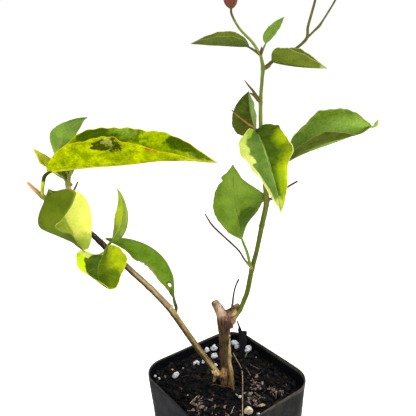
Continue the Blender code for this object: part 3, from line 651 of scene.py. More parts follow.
def tube(line, sides=12, flat_end=False, relief=None):
    """A closed skin round a line of (x, y, z, radius), with domed ends or a flat far one.

    relief, if given, is a function of the distance along, the angle and the
    corners, and says by how many millimetres the skin stands out there.
    """
    line = np.array(line, float)
    ahead = unit(np.gradient(line[:, :3], axis=0))
    domes = [(math.cos(a), math.sin(a)) for a in (math.radians(25), math.radians(55), math.radians(78))]
    radius = line[0, 3]
    cap = [np.r_[line[0, :3] - ahead[0] * radius * s, radius * c] for c, s in reversed(domes)]
    line = np.vstack([cap, line])
    if not flat_end:
        radius = line[-1, 3]
        cap = [np.r_[line[-1, :3] + ahead[-1] * radius * s, radius * c] for c, s in domes]
        line = np.vstack([line, cap])
    points, radii = line[:, :3], line[:, 3]
    ahead = unit(np.gradient(points, axis=0))
    side = unit(np.cross(ahead[0], (0.31, 0.94, 0.12)))
    side_rows = []
    for a in ahead:
        side = unit(side - a * side.dot(a))
        side_rows.append(side)
    side_rows = np.array(side_rows)
    up_rows = np.cross(ahead, side_rows)
    angle = np.arange(sides) / sides * 2 * math.pi
    out = (side_rows[:, None] * np.cos(angle)[None, :, None]
           + up_rows[:, None] * np.sin(angle)[None, :, None])
    along = np.r_[0, np.cumsum(np.linalg.norm(np.diff(points, axis=0), axis=1))]
    corners = points[:, None] + out * radii[:, None, None]
    if relief is not None:
        stand = relief(along[:, None], angle[None, :], corners)
        fade = np.minimum(1, radii / radii.max() * 1.5)
        corners = corners + out * (stand * fade[:, None])[:, :, None]
    grain = np.stack([np.cos(angle)[None] * radii[:, None], np.sin(angle)[None] * radii[:, None],
                      np.repeat(along[:, None], sides, 1)], axis=-1)
    run = np.zeros_like(grain)
    run[:, :, 0] = (along / along[-1])[:, None]
    kept = {"grain": grain.reshape(-1, 3), "run": run.reshape(-1, 3)}
    return corners.reshape(-1, 3), ring_faces(len(points), sides), kept


print("a ball of", len(ball(2)[1]), "faces makes a crumb")

# %% Loose bits: crumbs
CRUMB_COUNT = 900
STREW_REACH = 38      # mm from the middle, beyond the corners of the pot
STEM_X = 0.8
STEM_CLEAR = 4.2
strew = random.Random(11)
draw = strew.uniform
soft_ball = ball(2)


def inside_pot(x, y, margin):
    """True if a point of the surface is at least margin from the wall."""
    u, v = map(abs, spun(x, y, -POT_TURN))
    half = SOIL_SIDE / 2 - margin
    corner = POT_CORNER * SOIL_SIDE / POT_RIM_SIDE - margin
    inner = half - corner
    if u > inner and v > inner:
        return math.hypot(u - inner, v - inner) < corner
    return u < half and v < half


def on_soil(x, y, lift=0):
    return x, y, float(soil_height(x, y)) + lift


def strewn_place(margin, lift=0):
    """A random place on the mix, off the foot of the stem."""
    while True:
        x, y = draw(-STREW_REACH, STREW_REACH), draw(-STREW_REACH, STREW_REACH)
        if inside_pot(x, y, margin) and math.hypot(x - STEM_X, y) > STEM_CLEAR:
            return on_soil(x, y, lift)


crumbs = Skin()
for number in range(CRUMB_COUNT):
    x, y, z = strewn_place(1.2)
    size = strew.choice((0.35, 0.5, 0.5, 0.7, 0.9, 1.2))
    radii = [size * draw(0.7, 1.5) for _ in range(3)]
    crumbs.add(*grain_of_mix(soft_ball, (x, y, z + 0.35 * size), radii, number, 0.35,
                             draw(0, 360), draw(-40, 40)))
peat_crumb = peat_finish("peat crumb", (0.0044, 0.0042, 0.0046), (0.013, 0.012, 0.012),
                         (0.036, 0.031, 0.029))
make_piece("mix_crumbs", crumbs, peat_crumb)
print("crumbs:", CRUMB_COUNT)


# %% Loose bits: bark chips
def bark_chip_finish(name, dark, pale):
    paint = Paint(name, roughness=0.85, gloss=0.04)
    here = paint.here()
    fibre = paint.noise(paint.stretch(here, (1, 0.35, 1)), 0.7, 3, 0.6)
    paint.colour(paint.mix(paint.ramp(fibre, 0.38, 0.64), dark, pale))
    paint.bump(fibre, 0.2)
    return paint.material


chip_finishes = [
    bark_chip_finish("brown bark", (0.009, 0.006, 0.005), (0.034, 0.022, 0.015)),
    bark_chip_finish("grey pink bark", (0.036, 0.027, 0.022), (0.19, 0.146, 0.124)),
    bark_chip_finish("tan bark", (0.14, 0.085, 0.04), (0.38, 0.25, 0.12)),
]
CHIP_COUNT = 60
# x, y, half length, finish, spin: the chips that catch the eye
SEEN_CHIPS = [
    (15.6, 5, 2.2, 1, 80), (11.7, -7.8, 2, 1, 60), (15.9, -4.1, 2.2, 1, 20), (18.2, -0.5, 1.6, 1, 75),
    (13.9, -11.4, 1.8, 1, 130), (17, -14, 2, 2, 35), (-0.8, -15.5, 1.2, 2, 70),
    (-15.3, -13.2, 2.4, 1, 160), (-12.9, -15.5, 2.2, 1, 15), (-27.7, 10.6, 1.1, 2, 0),
    (-31, 5, 1, 1, 90), (-8, -18, 1.6, 1, 140),
]
# x, y, reach in x, reach in y, number: where bark lies thick
BARK_BEDS = [
    (-13, -15, 5.5, 5, 56), (15, -4, 3.5, 6, 34), (13.5, -11.5, 3.5, 3, 36), (2, -22, 7, 4, 30),
    (24, -6, 5, 4, 16),
]
chips = Skin()
for number, (x, y, reach, finish, spin) in enumerate(SEEN_CHIPS):
    chips.add(*grain_of_mix(soft_ball, on_soil(x, y, 0.75), (reach, reach * 0.55, 0.45),
                            number + 400, 0.3, spin, draw(-18, 18)), slot=finish)
for bed_x, bed_y, reach_x, reach_y, number_in_bed in BARK_BEDS:
    for number in range(number_in_bed):
        x = bed_x + strew.gauss(0, 0.6) * reach_x
        y = bed_y + strew.gauss(0, 0.6) * reach_y
        if inside_pot(x, y, 2):
            reach = draw(0.6, 1.6)
            place = on_soil(x, y, draw(0.4, 1.1))
            chips.add(*grain_of_mix(soft_ball, place, (reach, reach * draw(0.2, 0.5), 0.3),
                                    number + 700, 0.35, draw(0, 360), draw(-35, 35)),
                      slot=strew.choice((0, 1, 1, 1)))
for number in range(CHIP_COUNT):
    place = strewn_place(2.5, 0.5)
    reach = draw(0.8, 2)
    chips.add(*grain_of_mix(soft_ball, place, (reach, reach * draw(0.25, 0.6), 0.35),
                            number + 500, 0.3, draw(0, 360), draw(-25, 25)))
make_piece("bark_chips", chips, chip_finishes)
print("bark chips: about", len(SEEN_CHIPS) + sum(bed[4] for bed in BARK_BEDS) + CHIP_COUNT)

# %% [markdown]
# Perlite is popped volcanic glass: white, light as foam and full of tiny
# pits. Its grains are finer balls than the crumbs, with a pitted bump. One
# cream chip of wood lies among them.

# %% Loose bits: perlite
# x, y, half width: white grains lie mostly at the back
PERLITE = [
    (-6.2, 35, 1.3), (-5.7, 29.5, 2.1), (-9.6, 28.2, 1.8), (-5.6, 21.4, 2.1), (5.8, 33.2, 2.3),
    (7, 30.8, 1.5), (14.3, 32, 2.6), (-15.2, 15.6, 2), (-11.1, 16.4, 1.4), (-5.1, 13.4, 1.2),
    (-25.5, 5.6, 2.1),
    (-36, 4.6, 0.9), (-33.8, 3.2, 0.8), (-18.9, -7.9, 0.9), (6.6, -9.5, 0.9), (-22, 12, 0.5),
    (16.8, 21.5, 0.4), (15, -19.5, 1), (-9, -29, 1.3), (2, -31, 1),
]
CREAM_CHIP = (10.2, -17.6, 3)


def perlite_finish():
    paint = Paint("perlite", roughness=0.8, gloss=0.3)
    here = paint.here()
    tone = paint.noise(here, 1.3, 3, 0.6)
    paint.colour(paint.mix(paint.ramp(tone, 0.35, 0.62), (0.24, 0.25, 0.265), (0.52, 0.52, 0.545)))
    pits = paint.maths("ADD", paint.cells(here, 0.55), paint.noise(here, 0.4, 2))
    paint.bump(pits, 0.22)
    return paint.material


grains = Skin()
fine_ball = ball(4)
for number, (x, y, reach) in enumerate(PERLITE):
    while not inside_pot(x, y, reach + 0.2):
        x, y = 0.98 * x, 0.98 * y
    radii = (reach * 0.9, reach * draw(0.7, 0.9), reach * 0.72)
    grains.add(*grain_of_mix(fine_ball, on_soil(x, y, 0.5 * reach + 0.35), radii, number + 900, 0.26,
                             draw(0, 360), draw(-30, 30)))
x, y, reach = CREAM_CHIP
grains.add(*grain_of_mix(fine_ball, on_soil(x, y, 1.4), (reach, reach * 0.66, reach * 0.6), 950, 0.3,
                         100, 40), slot=1)
cream_wood = bark_chip_finish("cream wood", (0.42, 0.37, 0.23), (0.64, 0.59, 0.42))
make_piece("perlite", grains, [perlite_finish(), cream_wood])
print("perlite:", len(PERLITE), "grains")


# %% Loose bits: fibres and sticks
def fibre_finish(name, dark, pale):
    paint = Paint(name, roughness=0.8, gloss=0.06)
    here = paint.here()
    tone = paint.noise(here, 1.6, 3, 0.6)
    paint.colour(paint.mix(paint.ramp(tone, 0.35, 0.65), dark, pale))
    paint.bump(paint.noise(here, 0.4, 2), 0.08)
    return paint.material


def add_fibre(points, lift, radius, sides, finish):
    """Lay a fibre on the mix through the given x, y."""
    knots = [(*on_soil(x, y, lift), radius) for x, y in points]
    corners, faces, _ = tube(smooth_line(knots, 0.7), sides)
    fibres.add(corners, faces, slot=finish)


fibres = Skin()
FIBRE_COUNT = 34
SEEN_FIBRES = [
    # points on the mix, lift, radius, finish
    ([(4.6, 24), (6.4, 17.1), (7.7, 12.3), (8.5, 6.3), (8.3, -2), (8, -7.8), (7.7, -13.3), (7.4, -19.9),
      (7.2, -27)], 1.5, 0.24, 0),
    ([(10.8, 10.8), (12.8, 4.5), (14.6, -1.6)], 1.2, 0.3, 2),
    ([(-7.5, -2.9), (-5, -3), (-2.6, -4.2), (2.7, -5.4)], 1, 0.2, 2),
    ([(4.7, -8.8), (5.8, -9.4), (7, -9.2)], 1, 0.35, 1),
    ([(1.9, -19.9), (3.5, -15.6)], 0.9, 0.22, 1),
    ([(-17.7, -13.2), (-14.4, -8.7)], 1, 0.25, 0),
    ([(19, 9), (13.1, 14)], 0.9, 0.22, 2),
    ([(24.8, -4.6), (24.6, -7.2), (24.3, -9.7)], 1, 0.24, 2),
    ([(31.2, -5.3), (30.2, -1)], 1, 0.25, 2),
    ([(-25, 2), (-20, 5), (-13, 2.5), (-9, 3)], 0.8, 0.18, 3),
]
for points, lift, radius, finish in SEEN_FIBRES:
    add_fibre(points, lift, radius, 8, finish)
for number in range(FIBRE_COUNT):
    x, y, z = strewn_place(6)
    heading = draw(0, 2 * math.pi)
    reach = draw(1, 3.6)
    bend = draw(-0.8, 0.8)
    points = [(x + math.cos(heading + bend * k) * reach * k, y + math.sin(heading + bend * k) * reach * k)
              for k in (0, 0.5, 1)]
    add_fibre(points, draw(0.5, 1.1), draw(0.1, 0.22), 6, strew.choice((2, 3, 3)))
fibre_finishes = [
    fibre_finish("dry straw", (0.13, 0.085, 0.045), (0.34, 0.24, 0.14)),
    fibre_finish("grey fibre", (0.12, 0.105, 0.095), (0.29, 0.26, 0.24)),
    fibre_finish("brown fibre", (0.045, 0.025, 0.014), (0.13, 0.08, 0.048)),
    fibre_finish("dark fibre", (0.016, 0.01, 0.007), (0.05, 0.03, 0.02)),
]
make_piece("mix_fibres", fibres, fibre_finishes)
weed_line = smooth_line([(11, 22.4, 74.6, 0.3), (11.4, 22.5, 76.2, 0.42), (12.2, 22.8, 78, 0.15)], 0.5)
weed, weed_faces, _ = tube(weed_line, 8)
weed_paint = fibre_finish("green sprout", (0.07, 0.11, 0.015), (0.18, 0.26, 0.04))
make_piece("green_sprout", Skin().add(weed, weed_faces), weed_paint)
print("fibres:", len(SEEN_FIBRES) + FIBRE_COUNT)

# %% [markdown]
# ## The nib in the back corner
# A slim nib of black plastic leans in the back corner of the pot, with a
# small hooked barb at its head. It is a thin strip: its outline is drawn,
# filled and given thickness with Solidify, and Bevel takes the sharpness off
# its edges.

# %% Corner tag
TAG_WIDTH = 3.2
TAG_FOOT = (10.6, 26)
TAG_HEAD = (10.8, 33)
TAG_TOP = 85.0
TAG_THICKNESS = 0.7
TAG_EDGE = 0.15


def tag_outline():
    """The strip's outline from its buried foot up to the barb."""
    foot = on_soil(*TAG_FOOT, -0.8)[2]
    half = TAG_WIDTH / 2
    outline = [(-half - 1, foot), (half, foot), (half, TAG_TOP - 0.4), (half - 0.4, TAG_TOP),
               (-half + 0.4, TAG_TOP)]
    outline += [(-half - 0.1, TAG_TOP + 1.2), (-half - 0.9, TAG_TOP + 2.6), (-half - 1.9, TAG_TOP + 4.6),
                (-half - 2.5, TAG_TOP + 4.9), (-half - 2.1, TAG_TOP + 3), (-half - 1.5, TAG_TOP + 1.8),
                (-half - 1.8, TAG_TOP + 0.2), (-half - 1.2, TAG_TOP - 1.8), (-half - 1, TAG_TOP - 6)]
    corners = []
    for x, z in outline:
        share = (z - foot) / (TAG_TOP - foot)
        corners.append((TAG_FOOT[0] + (TAG_HEAD[0] - TAG_FOOT[0]) * share + x,
                        TAG_FOOT[1] + (TAG_HEAD[1] - TAG_FOOT[1]) * share, z))
    return corners


def black_strip_finish():
    paint = Paint("black strip", gloss=0.02)
    here = paint.here()
    tone = paint.noise(here, 3, 3)
    paint.colour(paint.mix(tone, (0.004, 0.004, 0.005), (0.011, 0.011, 0.012)))
    paint.roughness(paint.ramp(tone, 0.3, 0.7, 0.45, 0.65))
    paint.bump(paint.noise(here, 0.6, 3), 0.06)
    return paint.material


outline = tag_outline()
tag = make_piece("corner_nib", Skin().add(outline, [tuple(range(len(outline)))]), black_strip_finish(),
                 ["corner_tag"])
shell = tag.modifiers.new("thickness", "SOLIDIFY")
shell.thickness = TAG_THICKNESS * MM
shell.offset = 0.0
edge = tag.modifiers.new("soft edge", "BEVEL")
edge.width = TAG_EDGE * MM
edge.segments = 2
bake_modifiers(tag)
print("corner nib:", len(tag.data.polygons), "faces")

# %% [markdown]
# ## The old wood
# The stem is a cut-back piece of old wood: a flared foot, a swollen head
# where the shoots break out, a sawn-off stub, a callus that carries the cane,
# and a strand of root that grips the mix. Each is an overlapping tube on the
# frame's own lines. A voxel remesh melts them into one skin, as wood grows,
# and noise that is stretched along the stem cuts the bark's furrows into it.

# %% Trunk: lines
TRUNK = [
    (0.6, 0, FOOT_HEIGHT - 3, 3.6), (0.6, 0, FOOT_HEIGHT + 0.3, 3.6), (0.6, 0, 79, 3.15), (0, 0, 86, 2.8),
    (-0.6, 0, 95, 2.8), (-1, 0, 104, 2.85), (-1.6, 0, 111, 3.1), (-3, 0, 116.5, 2.5), (-6, 0, 122, 1.9),
]
ROOT_STRAND = [(1.7, -0.9, 88, 0.8), (2.5, -2.6, 84.4, 1), (2.8, -3.8, 81, 1), (3.4, -5, 77.6, 0.95),
               (3.6, -5.8, 74.6, 0.8)]
CALLUS = [(-1, -1, 81.6, 1.7), (-4, -2.5, 82.7, 1.8), (-5.5, -3, 84.8, 1.7), (-6.6, -3, 87, 1.5)]
CALLUS_FOOT = [(-4.6, -2.8, 83, 1.3), (-5.6, -3.6, 81.2, 1.1), (-6, -4, 79.8, 0.7)]
KNOT = [(0, 0, 110.9, 2.2), (1.6, -0.4, 112, 2.1), (2.9, -0.5, 113.2, 1.9)]
KNOT_LUMPS = [
    (2.8, -0.6, 111.6, 1.7), (3.4, -0.6, 113.6, 1.4), (1.8, -1.2, 116, 1.3), (3.2, -1.2, 116.6, 1.4),
    (4.4, -1, 117.2, 1.2), (5.2, -0.6, 118.6, 0.9), (3.8, 0.6, 117.6, 1.2), (2.2, -0.8, 109, 1.1),
    (-2.2, -1, 113.6, 1.5), (0.4, -1.9, 114, 1.4), (1.2, -1.6, 104.5, 0.8), (-2.6, -1.2, 99.5, 0.7),
    (2.2, -1.2, 92, 0.7),
]
CUT_STUB = [(-1, 0.4, 114.6, 1.9), (1.6, 2.2, 115.9, 1.35), (4, 3.4, 116.9, 1.25), (6.2, 4.4, 117.9, 1.2)]
MELT_SIZE = 0.24      # size of a voxel
LEAN_START = 108      # height from which the head leans
LEAN = 0.35
SAW_START = 119
SAW_FACING = (-0.45, 0, 0.89)


# %% Trunk: melt and furrow
def fused_tubes():
    """The old wood's tubes and lumps melted into one mesh, as a bare object."""
    skin = Skin()
    lines = [(TRUNK, 28, True), (ROOT_STRAND, 14, False), (CALLUS, 20, False), (CALLUS_FOOT, 14, False),
             (KNOT, 22, False), (CUT_STUB, 18, True)]
    for knots, sides, flat_end in lines:
        corners, faces, _ = tube(smooth_line(knots, 0.6), sides, flat_end=flat_end)
        skin.add(corners, faces)
    for x, y, z, radius in KNOT_LUMPS:
        corners, faces = ball(3)
        skin.add(corners * radius + np.array((x, y, z)), faces)
    wood = bpy.data.objects.new("old wood", skin.mesh("old wood"))
    show(wood)
    melt = wood.modifiers.new("melt", "REMESH")
    melt.mode = "VOXEL"
    melt.voxel_size = MELT_SIZE * MM
    ease = wood.modifiers.new("ease", "SMOOTH")
    ease.factor = 0.5
    ease.iterations = 4
    bake_modifiers(wood)
    return wood


def furrow(wood):
    """Cut the bark's furrows and swellings into the melted skin."""
    corners = corners_of(wood.data)
    out = np.array([v.normal for v in wood.data.vertices])
    # the head leans, so the furrows are sheared to lean with it
    lean = np.clip(corners[:, 2] - LEAN_START, 0, None)
    along = np.stack([corners[:, 0] + LEAN * lean, corners[:, 1], corners[:, 2] * 0.16], axis=1)
    deep = lumps(along, 0.85, 21)
    fine = lumps(along * (1, 1, 1.6), 0.4, 22)
    swell = lumps(corners, 3.2, 23)
    stand = 0.22 * swell - 0.36 * np.clip(deep, 0, 1) + 0.11 * fine
    # the sawn face stays flat
    sawn = smooth_step((out @ np.array(SAW_FACING) - 0.8) / 0.12) * (corners[:, 2] > SAW_START)
    stand *= 1 - sawn
    move_corners(wood.data, corners + out * stand[:, None])


# %% [markdown]
# The bark is weathered brown. Low down on the left it is darker and greener,
# partly as painted shade, and a strip of golden tan on the front right, where
# young wood shows, is brightened as painted light from the right. The head
# turns pinkish, with pale painted highlights, and the callus carries a cream
# painted highlight. The sawn stub is pale with a grey-green skin of algae.
# Each of these is a soft spot laid over a streaky base, and the streaks run
# up the stem.

# %% Trunk: finish
def old_bark_finish():
    paint = Paint("old bark", roughness=0.82, gloss=0.06)
    here = paint.here()
    streak = paint.noise(paint.stretch(here, (1, 1, 0.14)), 0.75, 4, 0.6)
    patch = paint.noise(here, 2.4, 3, 0.6)
    wander = paint.vector("SCALE", paint.node("TexNoise", {"Vector": here, "Scale": 0.5}).outputs["Color"],
                          scale=1.6)
    moved = paint.vector("SUBTRACT", paint.vector("ADD", here, wander), (0.8, 0.8, 0.8))
    tone = paint.mix(paint.ramp(streak, 0.42, 0.58), (0.02, 0.011, 0.006), (0.12, 0.064, 0.03))
    tone = paint.mix(paint.ramp(patch, 0.52, 0.7), tone, (0.085, 0.058, 0.024))
    spots = [
        # centre, radii, softness, strength, colour
        # partly painted light: the golden tan strip down the front right
        ((2.3, -2.4, 95), (1.3, 3.2, 13), 0.3, 0.9, (0.42, 0.31, 0.135)),
        ((4.2, -1.6, 95), (0.9, 3, 14), 0.3, 0.7, (0.12, 0.085, 0.04)),
        ((2.6, -2.6, 81), (1.5, 3, 6), 0.3, 0.7, (0.2, 0.125, 0.04)),
        # partly painted shade: darker and greener on the left
        ((-2.4, -1.6, 96), (1.7, 3, 15), 0.35, 0.65, (0.032, 0.022, 0.009)),
        ((-0.2, -2.6, 97), (1.2, 2, 8), 0.4, 0.6, (0.05, 0.042, 0.014)),
        ((-1.4, -2.8, 83.4), (1.8, 1.8, 3.2), 0.3, 1, (0.42, 0.23, 0.1)),
        ((-2.6, -2.4, 82.6), (1.2, 1.8, 2.4), 0.3, 0.8, (0.25, 0.15, 0.05)),
        ((0.4, -2.4, 109), (3.4, 2.6, 4.6), 0.35, 0.7, (0.048, 0.024, 0.016)),
        ((1.4, -2.4, 104.8), (1.3, 2.4, 3), 0.3, 0.6, (0.15, 0.084, 0.034)),
        # pinkish head; its palest spots are painted highlights
        ((0.2, -2.2, 115.6), (3.2, 2.6, 2.4), 0.35, 0.8, (0.23, 0.13, 0.088)),
        ((-4.4, -1.6, 119), (2.2, 2.8, 5), 0.3, 0.95, (0.34, 0.23, 0.13)),
        ((-2.7, -2.2, 119), (1.5, 2.6, 3.4), 0.4, 0.95, (0.52, 0.39, 0.27)),
        ((-0.9, -2.4, 116.8), (1.9, 2, 1.3), 0.4, 0.85, (0.42, 0.28, 0.195)),
        ((-6, -1.4, 118.8), (0.9, 2.6, 4), 0.4, 0.9, (0.12, 0.07, 0.04)),
        ((3.8, -1.4, 116.6), (1.6, 2.4, 1.7), 0.3, 0.9, (0.44, 0.34, 0.13)),
        ((3.2, -0.8, 112.6), (1.8, 2.2, 1.8), 0.3, 0.8, (0.28, 0.155, 0.085)),
        ((5, 2.6, 118), (2.8, 2.4, 1.8), 0.3, 0.7, (0.27, 0.17, 0.11)),
        # painted highlight: cream on the callus
        ((-5, -3.8, 85.2), (2.4, 2, 2.4), 0.3, 1, (0.64, 0.48, 0.2)),
        ((-6.1, -4.2, 80.6), (1, 1.4, 1.6), 0.3, 0.7, (0.26, 0.19, 0.07)),
    ]
    for centre, radii, softness, strength, colour in spots:
        share = paint.times(paint.spot(moved, centre, radii, softness), strength)
        tone = paint.lay(tone, share, paint.ramp(streak, 0.36, 0.54, 0.25, 1), colour)
    saw = paint.spot(here, (-6.4, 0, 123.4), (2.4, 2.4, 1.7), 0.12)
    rings = paint.ramp(paint.noise(here, 0.7, 3), 0.4, 0.6)
    tone = paint.mix(saw, tone, paint.mix(rings, (0.12, 0.135, 0.07), (0.33, 0.29, 0.17)))
    pith = paint.spot(here, (-5.9, -0.3, 123.8), (0.7, 0.7, 0.7), 0.3)
    tone = paint.mix(pith, tone, (0.012, 0.012, 0.01))
    scar = paint.spot(here, (1.6, -2.9, 104.6), (0.6, 0.9, 0.6), 0.2)
    tone = paint.mix(scar, tone, (0.6, 0.4, 0.3))
    paint.colour(tone)
    paint.bump(paint.maths("ADD", streak, paint.noise(here, 0.35, 3)), 0.14)
    return paint.material


wood = fused_tubes()
furrow(wood)
wood.name = "old_wood"
wood.data.materials.append(old_bark_finish())
wood.data.shade_smooth()
dress(wood, ["trunk"])
print("old wood:", len(wood.data.polygons), "faces")

# %% [markdown]
# ## The cane and the shoot
# Both are slender, tapering limbs, a little swollen at every node. A tube
# follows the frame's line from inside the old wood and gets its relief
# straight from code: shallow ridges along it, and a swelling at each node.
# The tube keeps the way its grain runs, so that the finish can draw streaks
# along a limb that leans.

# %% Cane and shoot: lines and relief
CANE = [
    (-6.5, -3, 86.8, 1.5), (-8.4, -3, 89.6, 1.5), (-15, -4, 100.6, 1.5), (-22.2, -5, 113.5, 1.5),
    (-27.4, -6, 122.7, 1.55), (-36, -7, 133.8, 1.4), (-42.2, -8, 141, 1.4), (-53.3, -11, 155, 1.3),
    (-59.2, -12, 162.2, 1.2), (-69.2, -14, 172.3, 1.15), (-77.6, -16, 181, 1.05), (-82.4, -18, 187.5, 0.65),
]
SHOOT = [
    (3.5, -0.8, 113.8, 1.3), (4.6, -0.8, 115.4, 1.2), (6.6, -0.6, 118.9, 1.1), (8.2, 0, 123, 1.15),
    (9.8, 0.5, 128, 1.2), (11.5, 1.8, 138, 1.2), (13.7, 2.6, 148, 1.1), (15.7, 3, 160.4, 1.2),
    (17, 3, 167.7, 1.25), (17.4, 3, 172.5, 1.35), (16.8, 3, 177.3, 1.15), (15.8, 3, 184.4, 1),
    (14.6, 3, 195.8, 0.9), (13.7, 3, 205.6, 0.9), (13.4, 4, 217.5, 0.8), (13.7, 4, 226, 0.75),
    (13.9, 4, 231, 0.85), (12.9, 4, 235.6, 0.65),
]
CANE_LINE = smooth_line([(-4.6, -2.9, 84, 1.3)] + CANE, 0.5)
SHOOT_LINE = smooth_line([(1.6, -0.6, 111.6, 1.4)] + SHOOT, 0.5)
CANE_NODES = (118, 133.4, 154.6, 158, 172.3, 181)
SHOOT_NODES = (117.5, 138.5, 160, 172.5, 184.4, 203.6, 216.4, 230.6)


def ridged(nodes, depth, seed):
    """Relief of a limb: fine ridges along it and a swelling at each node."""
    def relief(along, angle, corners):
        flat = corners.reshape(-1, 3)
        ridge = np.sin(angle * 5 + along * 0.12) * 0.35 + np.sin(angle * 9 - along * 0.2) * 0.25
        rough = lumps(flat * (1, 1, 0.35), 0.8, seed).reshape(corners.shape[:2])
        swell = sum(0.16 * np.exp(-((corners[:, :, 2] - z) / 0.9) ** 2) for z in nodes)
        return depth * (ridge + 1.2 * rough) + swell
    return relief


def on_limb(line, height):
    """The middle of a limb at a height."""
    return line[int(np.argmin(np.abs(line[:, 2] - height))), :3]


# %% Cane and shoot: finishes
def cane_finish():
    paint = Paint("tan cane", roughness=0.6, gloss=0.1)
    here = paint.here()
    grain = paint.kept("grain")
    streak = paint.noise(paint.stretch(grain, (1.6, 1.6, 0.22)), 0.9, 4, 0.6)
    patch = paint.noise(here, 5, 3, 0.6)
    z = paint.split(here)[2]
    side, _, up = paint.split(paint.node("NewGeometry").outputs["Normal"])
    # painted light and shade: the side facing up and right is painted tan, the underside near-black
    painted_lit_side = paint.ramp(paint.maths("ADD", up, paint.times(side, 0.45)), -0.25, 0.4)
    bold = paint.ramp(streak, 0.36, 0.62)
    soft = paint.ramp(streak, 0.35, 0.65)
    tan = paint.mix(bold, (0.23, 0.155, 0.052), (0.45, 0.33, 0.15))
    tan = paint.mix(paint.ramp(patch, 0.5, 0.7), tan, (0.215, 0.165, 0.1))
    middle = paint.times(paint.ramp(z, 89, 93), paint.ramp(z, 130, 112))
    tan = paint.lay(tan, middle, 0.75, paint.mix(bold, (0.06, 0.04, 0.01), (0.23, 0.155, 0.05)))
    tone = paint.mix(painted_lit_side, (0.034, 0.024, 0.007), tan)
    # painted shadow: from 150 mm up the cane is painted near-black, where the leaves above shade it
    tone = paint.lay(tone, paint.ramp(z, 140, 150), 0.92, (0.01, 0.01, 0.005))
    green = paint.mix(soft, (0.17, 0.19, 0.05), (0.33, 0.3, 0.11))
    tone = paint.mix(paint.ramp(z, 168, 176), tone, green)
    dried = paint.mix(soft, (0.42, 0.19, 0.06), (0.64, 0.35, 0.13))
    tone = paint.mix(paint.ramp(z, 182.4, 184.5), tone, dried)
    pore = paint.ramp(paint.cells(paint.stretch(grain, (1, 1, 0.6)), 1.5), 0.1, 0.2, 1, 0)
    tone = paint.lay(tone, pore, 0.5, (0.36, 0.29, 0.19))
    paint.colour(tone)
    paint.bump(paint.maths("ADD", streak, pore), 0.08)
    return paint.material


def shoot_finish():
    paint = Paint("green shoot", roughness=0.45, gloss=0.1)
    here = paint.here()
    grain = paint.kept("grain")
    streak = paint.noise(paint.stretch(grain, (1.6, 1.6, 0.16)), 0.8, 3, 0.6)
    bold = paint.ramp(streak, 0.35, 0.62)
    z = paint.split(here)[2]
    low = paint.mix(bold, (0.048, 0.066, 0.002), (0.092, 0.115, 0.006))
    high = paint.mix(bold, (0.08, 0.112, 0.008), (0.15, 0.19, 0.026))
    tone = paint.mix(paint.ramp(z, 150, 205), low, high)
    tone = paint.lay(tone, paint.ramp(z, 114, 118.5, 1, 0), 0.8, (0.26, 0.2, 0.07))
    node = paint.spot(here, (18.6, 2, 172.6), (1.6, 1.8, 1.6), 0.3)
    tone = paint.lay(tone, node, 0.8, (0.13, 0.075, 0.035))
    node = paint.spot(here, (11, 1, 139.2), (1.8, 1.8, 1.6), 0.3)
    tone = paint.lay(tone, node, 0.4, (0.09, 0.085, 0.02))
    fleck = paint.ramp(paint.cells(paint.stretch(grain, (1, 1, 0.5)), 1.3), 0.06, 0.14, 1, 0)
    tone = paint.lay(tone, fleck, 0.35, (0.3, 0.33, 0.14))
    paint.colour(tone)
    paint.bump(streak, 0.06)
    return paint.material


def limb_piece(name, line, relief, finish, node):
    corners, faces, kept = tube(line, 24, relief=relief)
    make_piece(name, Skin().add(corners, faces, **kept), finish, [node])


limb_piece("brown_cane", CANE_LINE, ridged(CANE_NODES, 0.07, 31), cane_finish(), "left_cane")
limb_piece("climbing_shoot", SHOOT_LINE, ridged(SHOOT_NODES, 0.04, 32), shoot_finish(),
           "right_shoot")
print("cane:", len(CANE_LINE), "rings, shoot:", len(SHOOT_LINE), "rings")

# %% [markdown]
# ## How a leaf is bent
# A bougainvillea leaf is broad near its foot and drawn out to a point, and
# every leaf on a living plant is folded, curled or rolled in its own way. So
# a blade is a rule that gives the point at any share t of the way from foot
# to tip and any share s from the left margin (-1) over the midrib (0) to the
# right margin (1). The midrib turns from its first heading and rise to its
# last, and each half is lifted by a fold and a curl.

# %% Helper: a blade bent by angles
LEAF_OUTLINE = (0.62, 1.05)
RIB_STEPS = 400


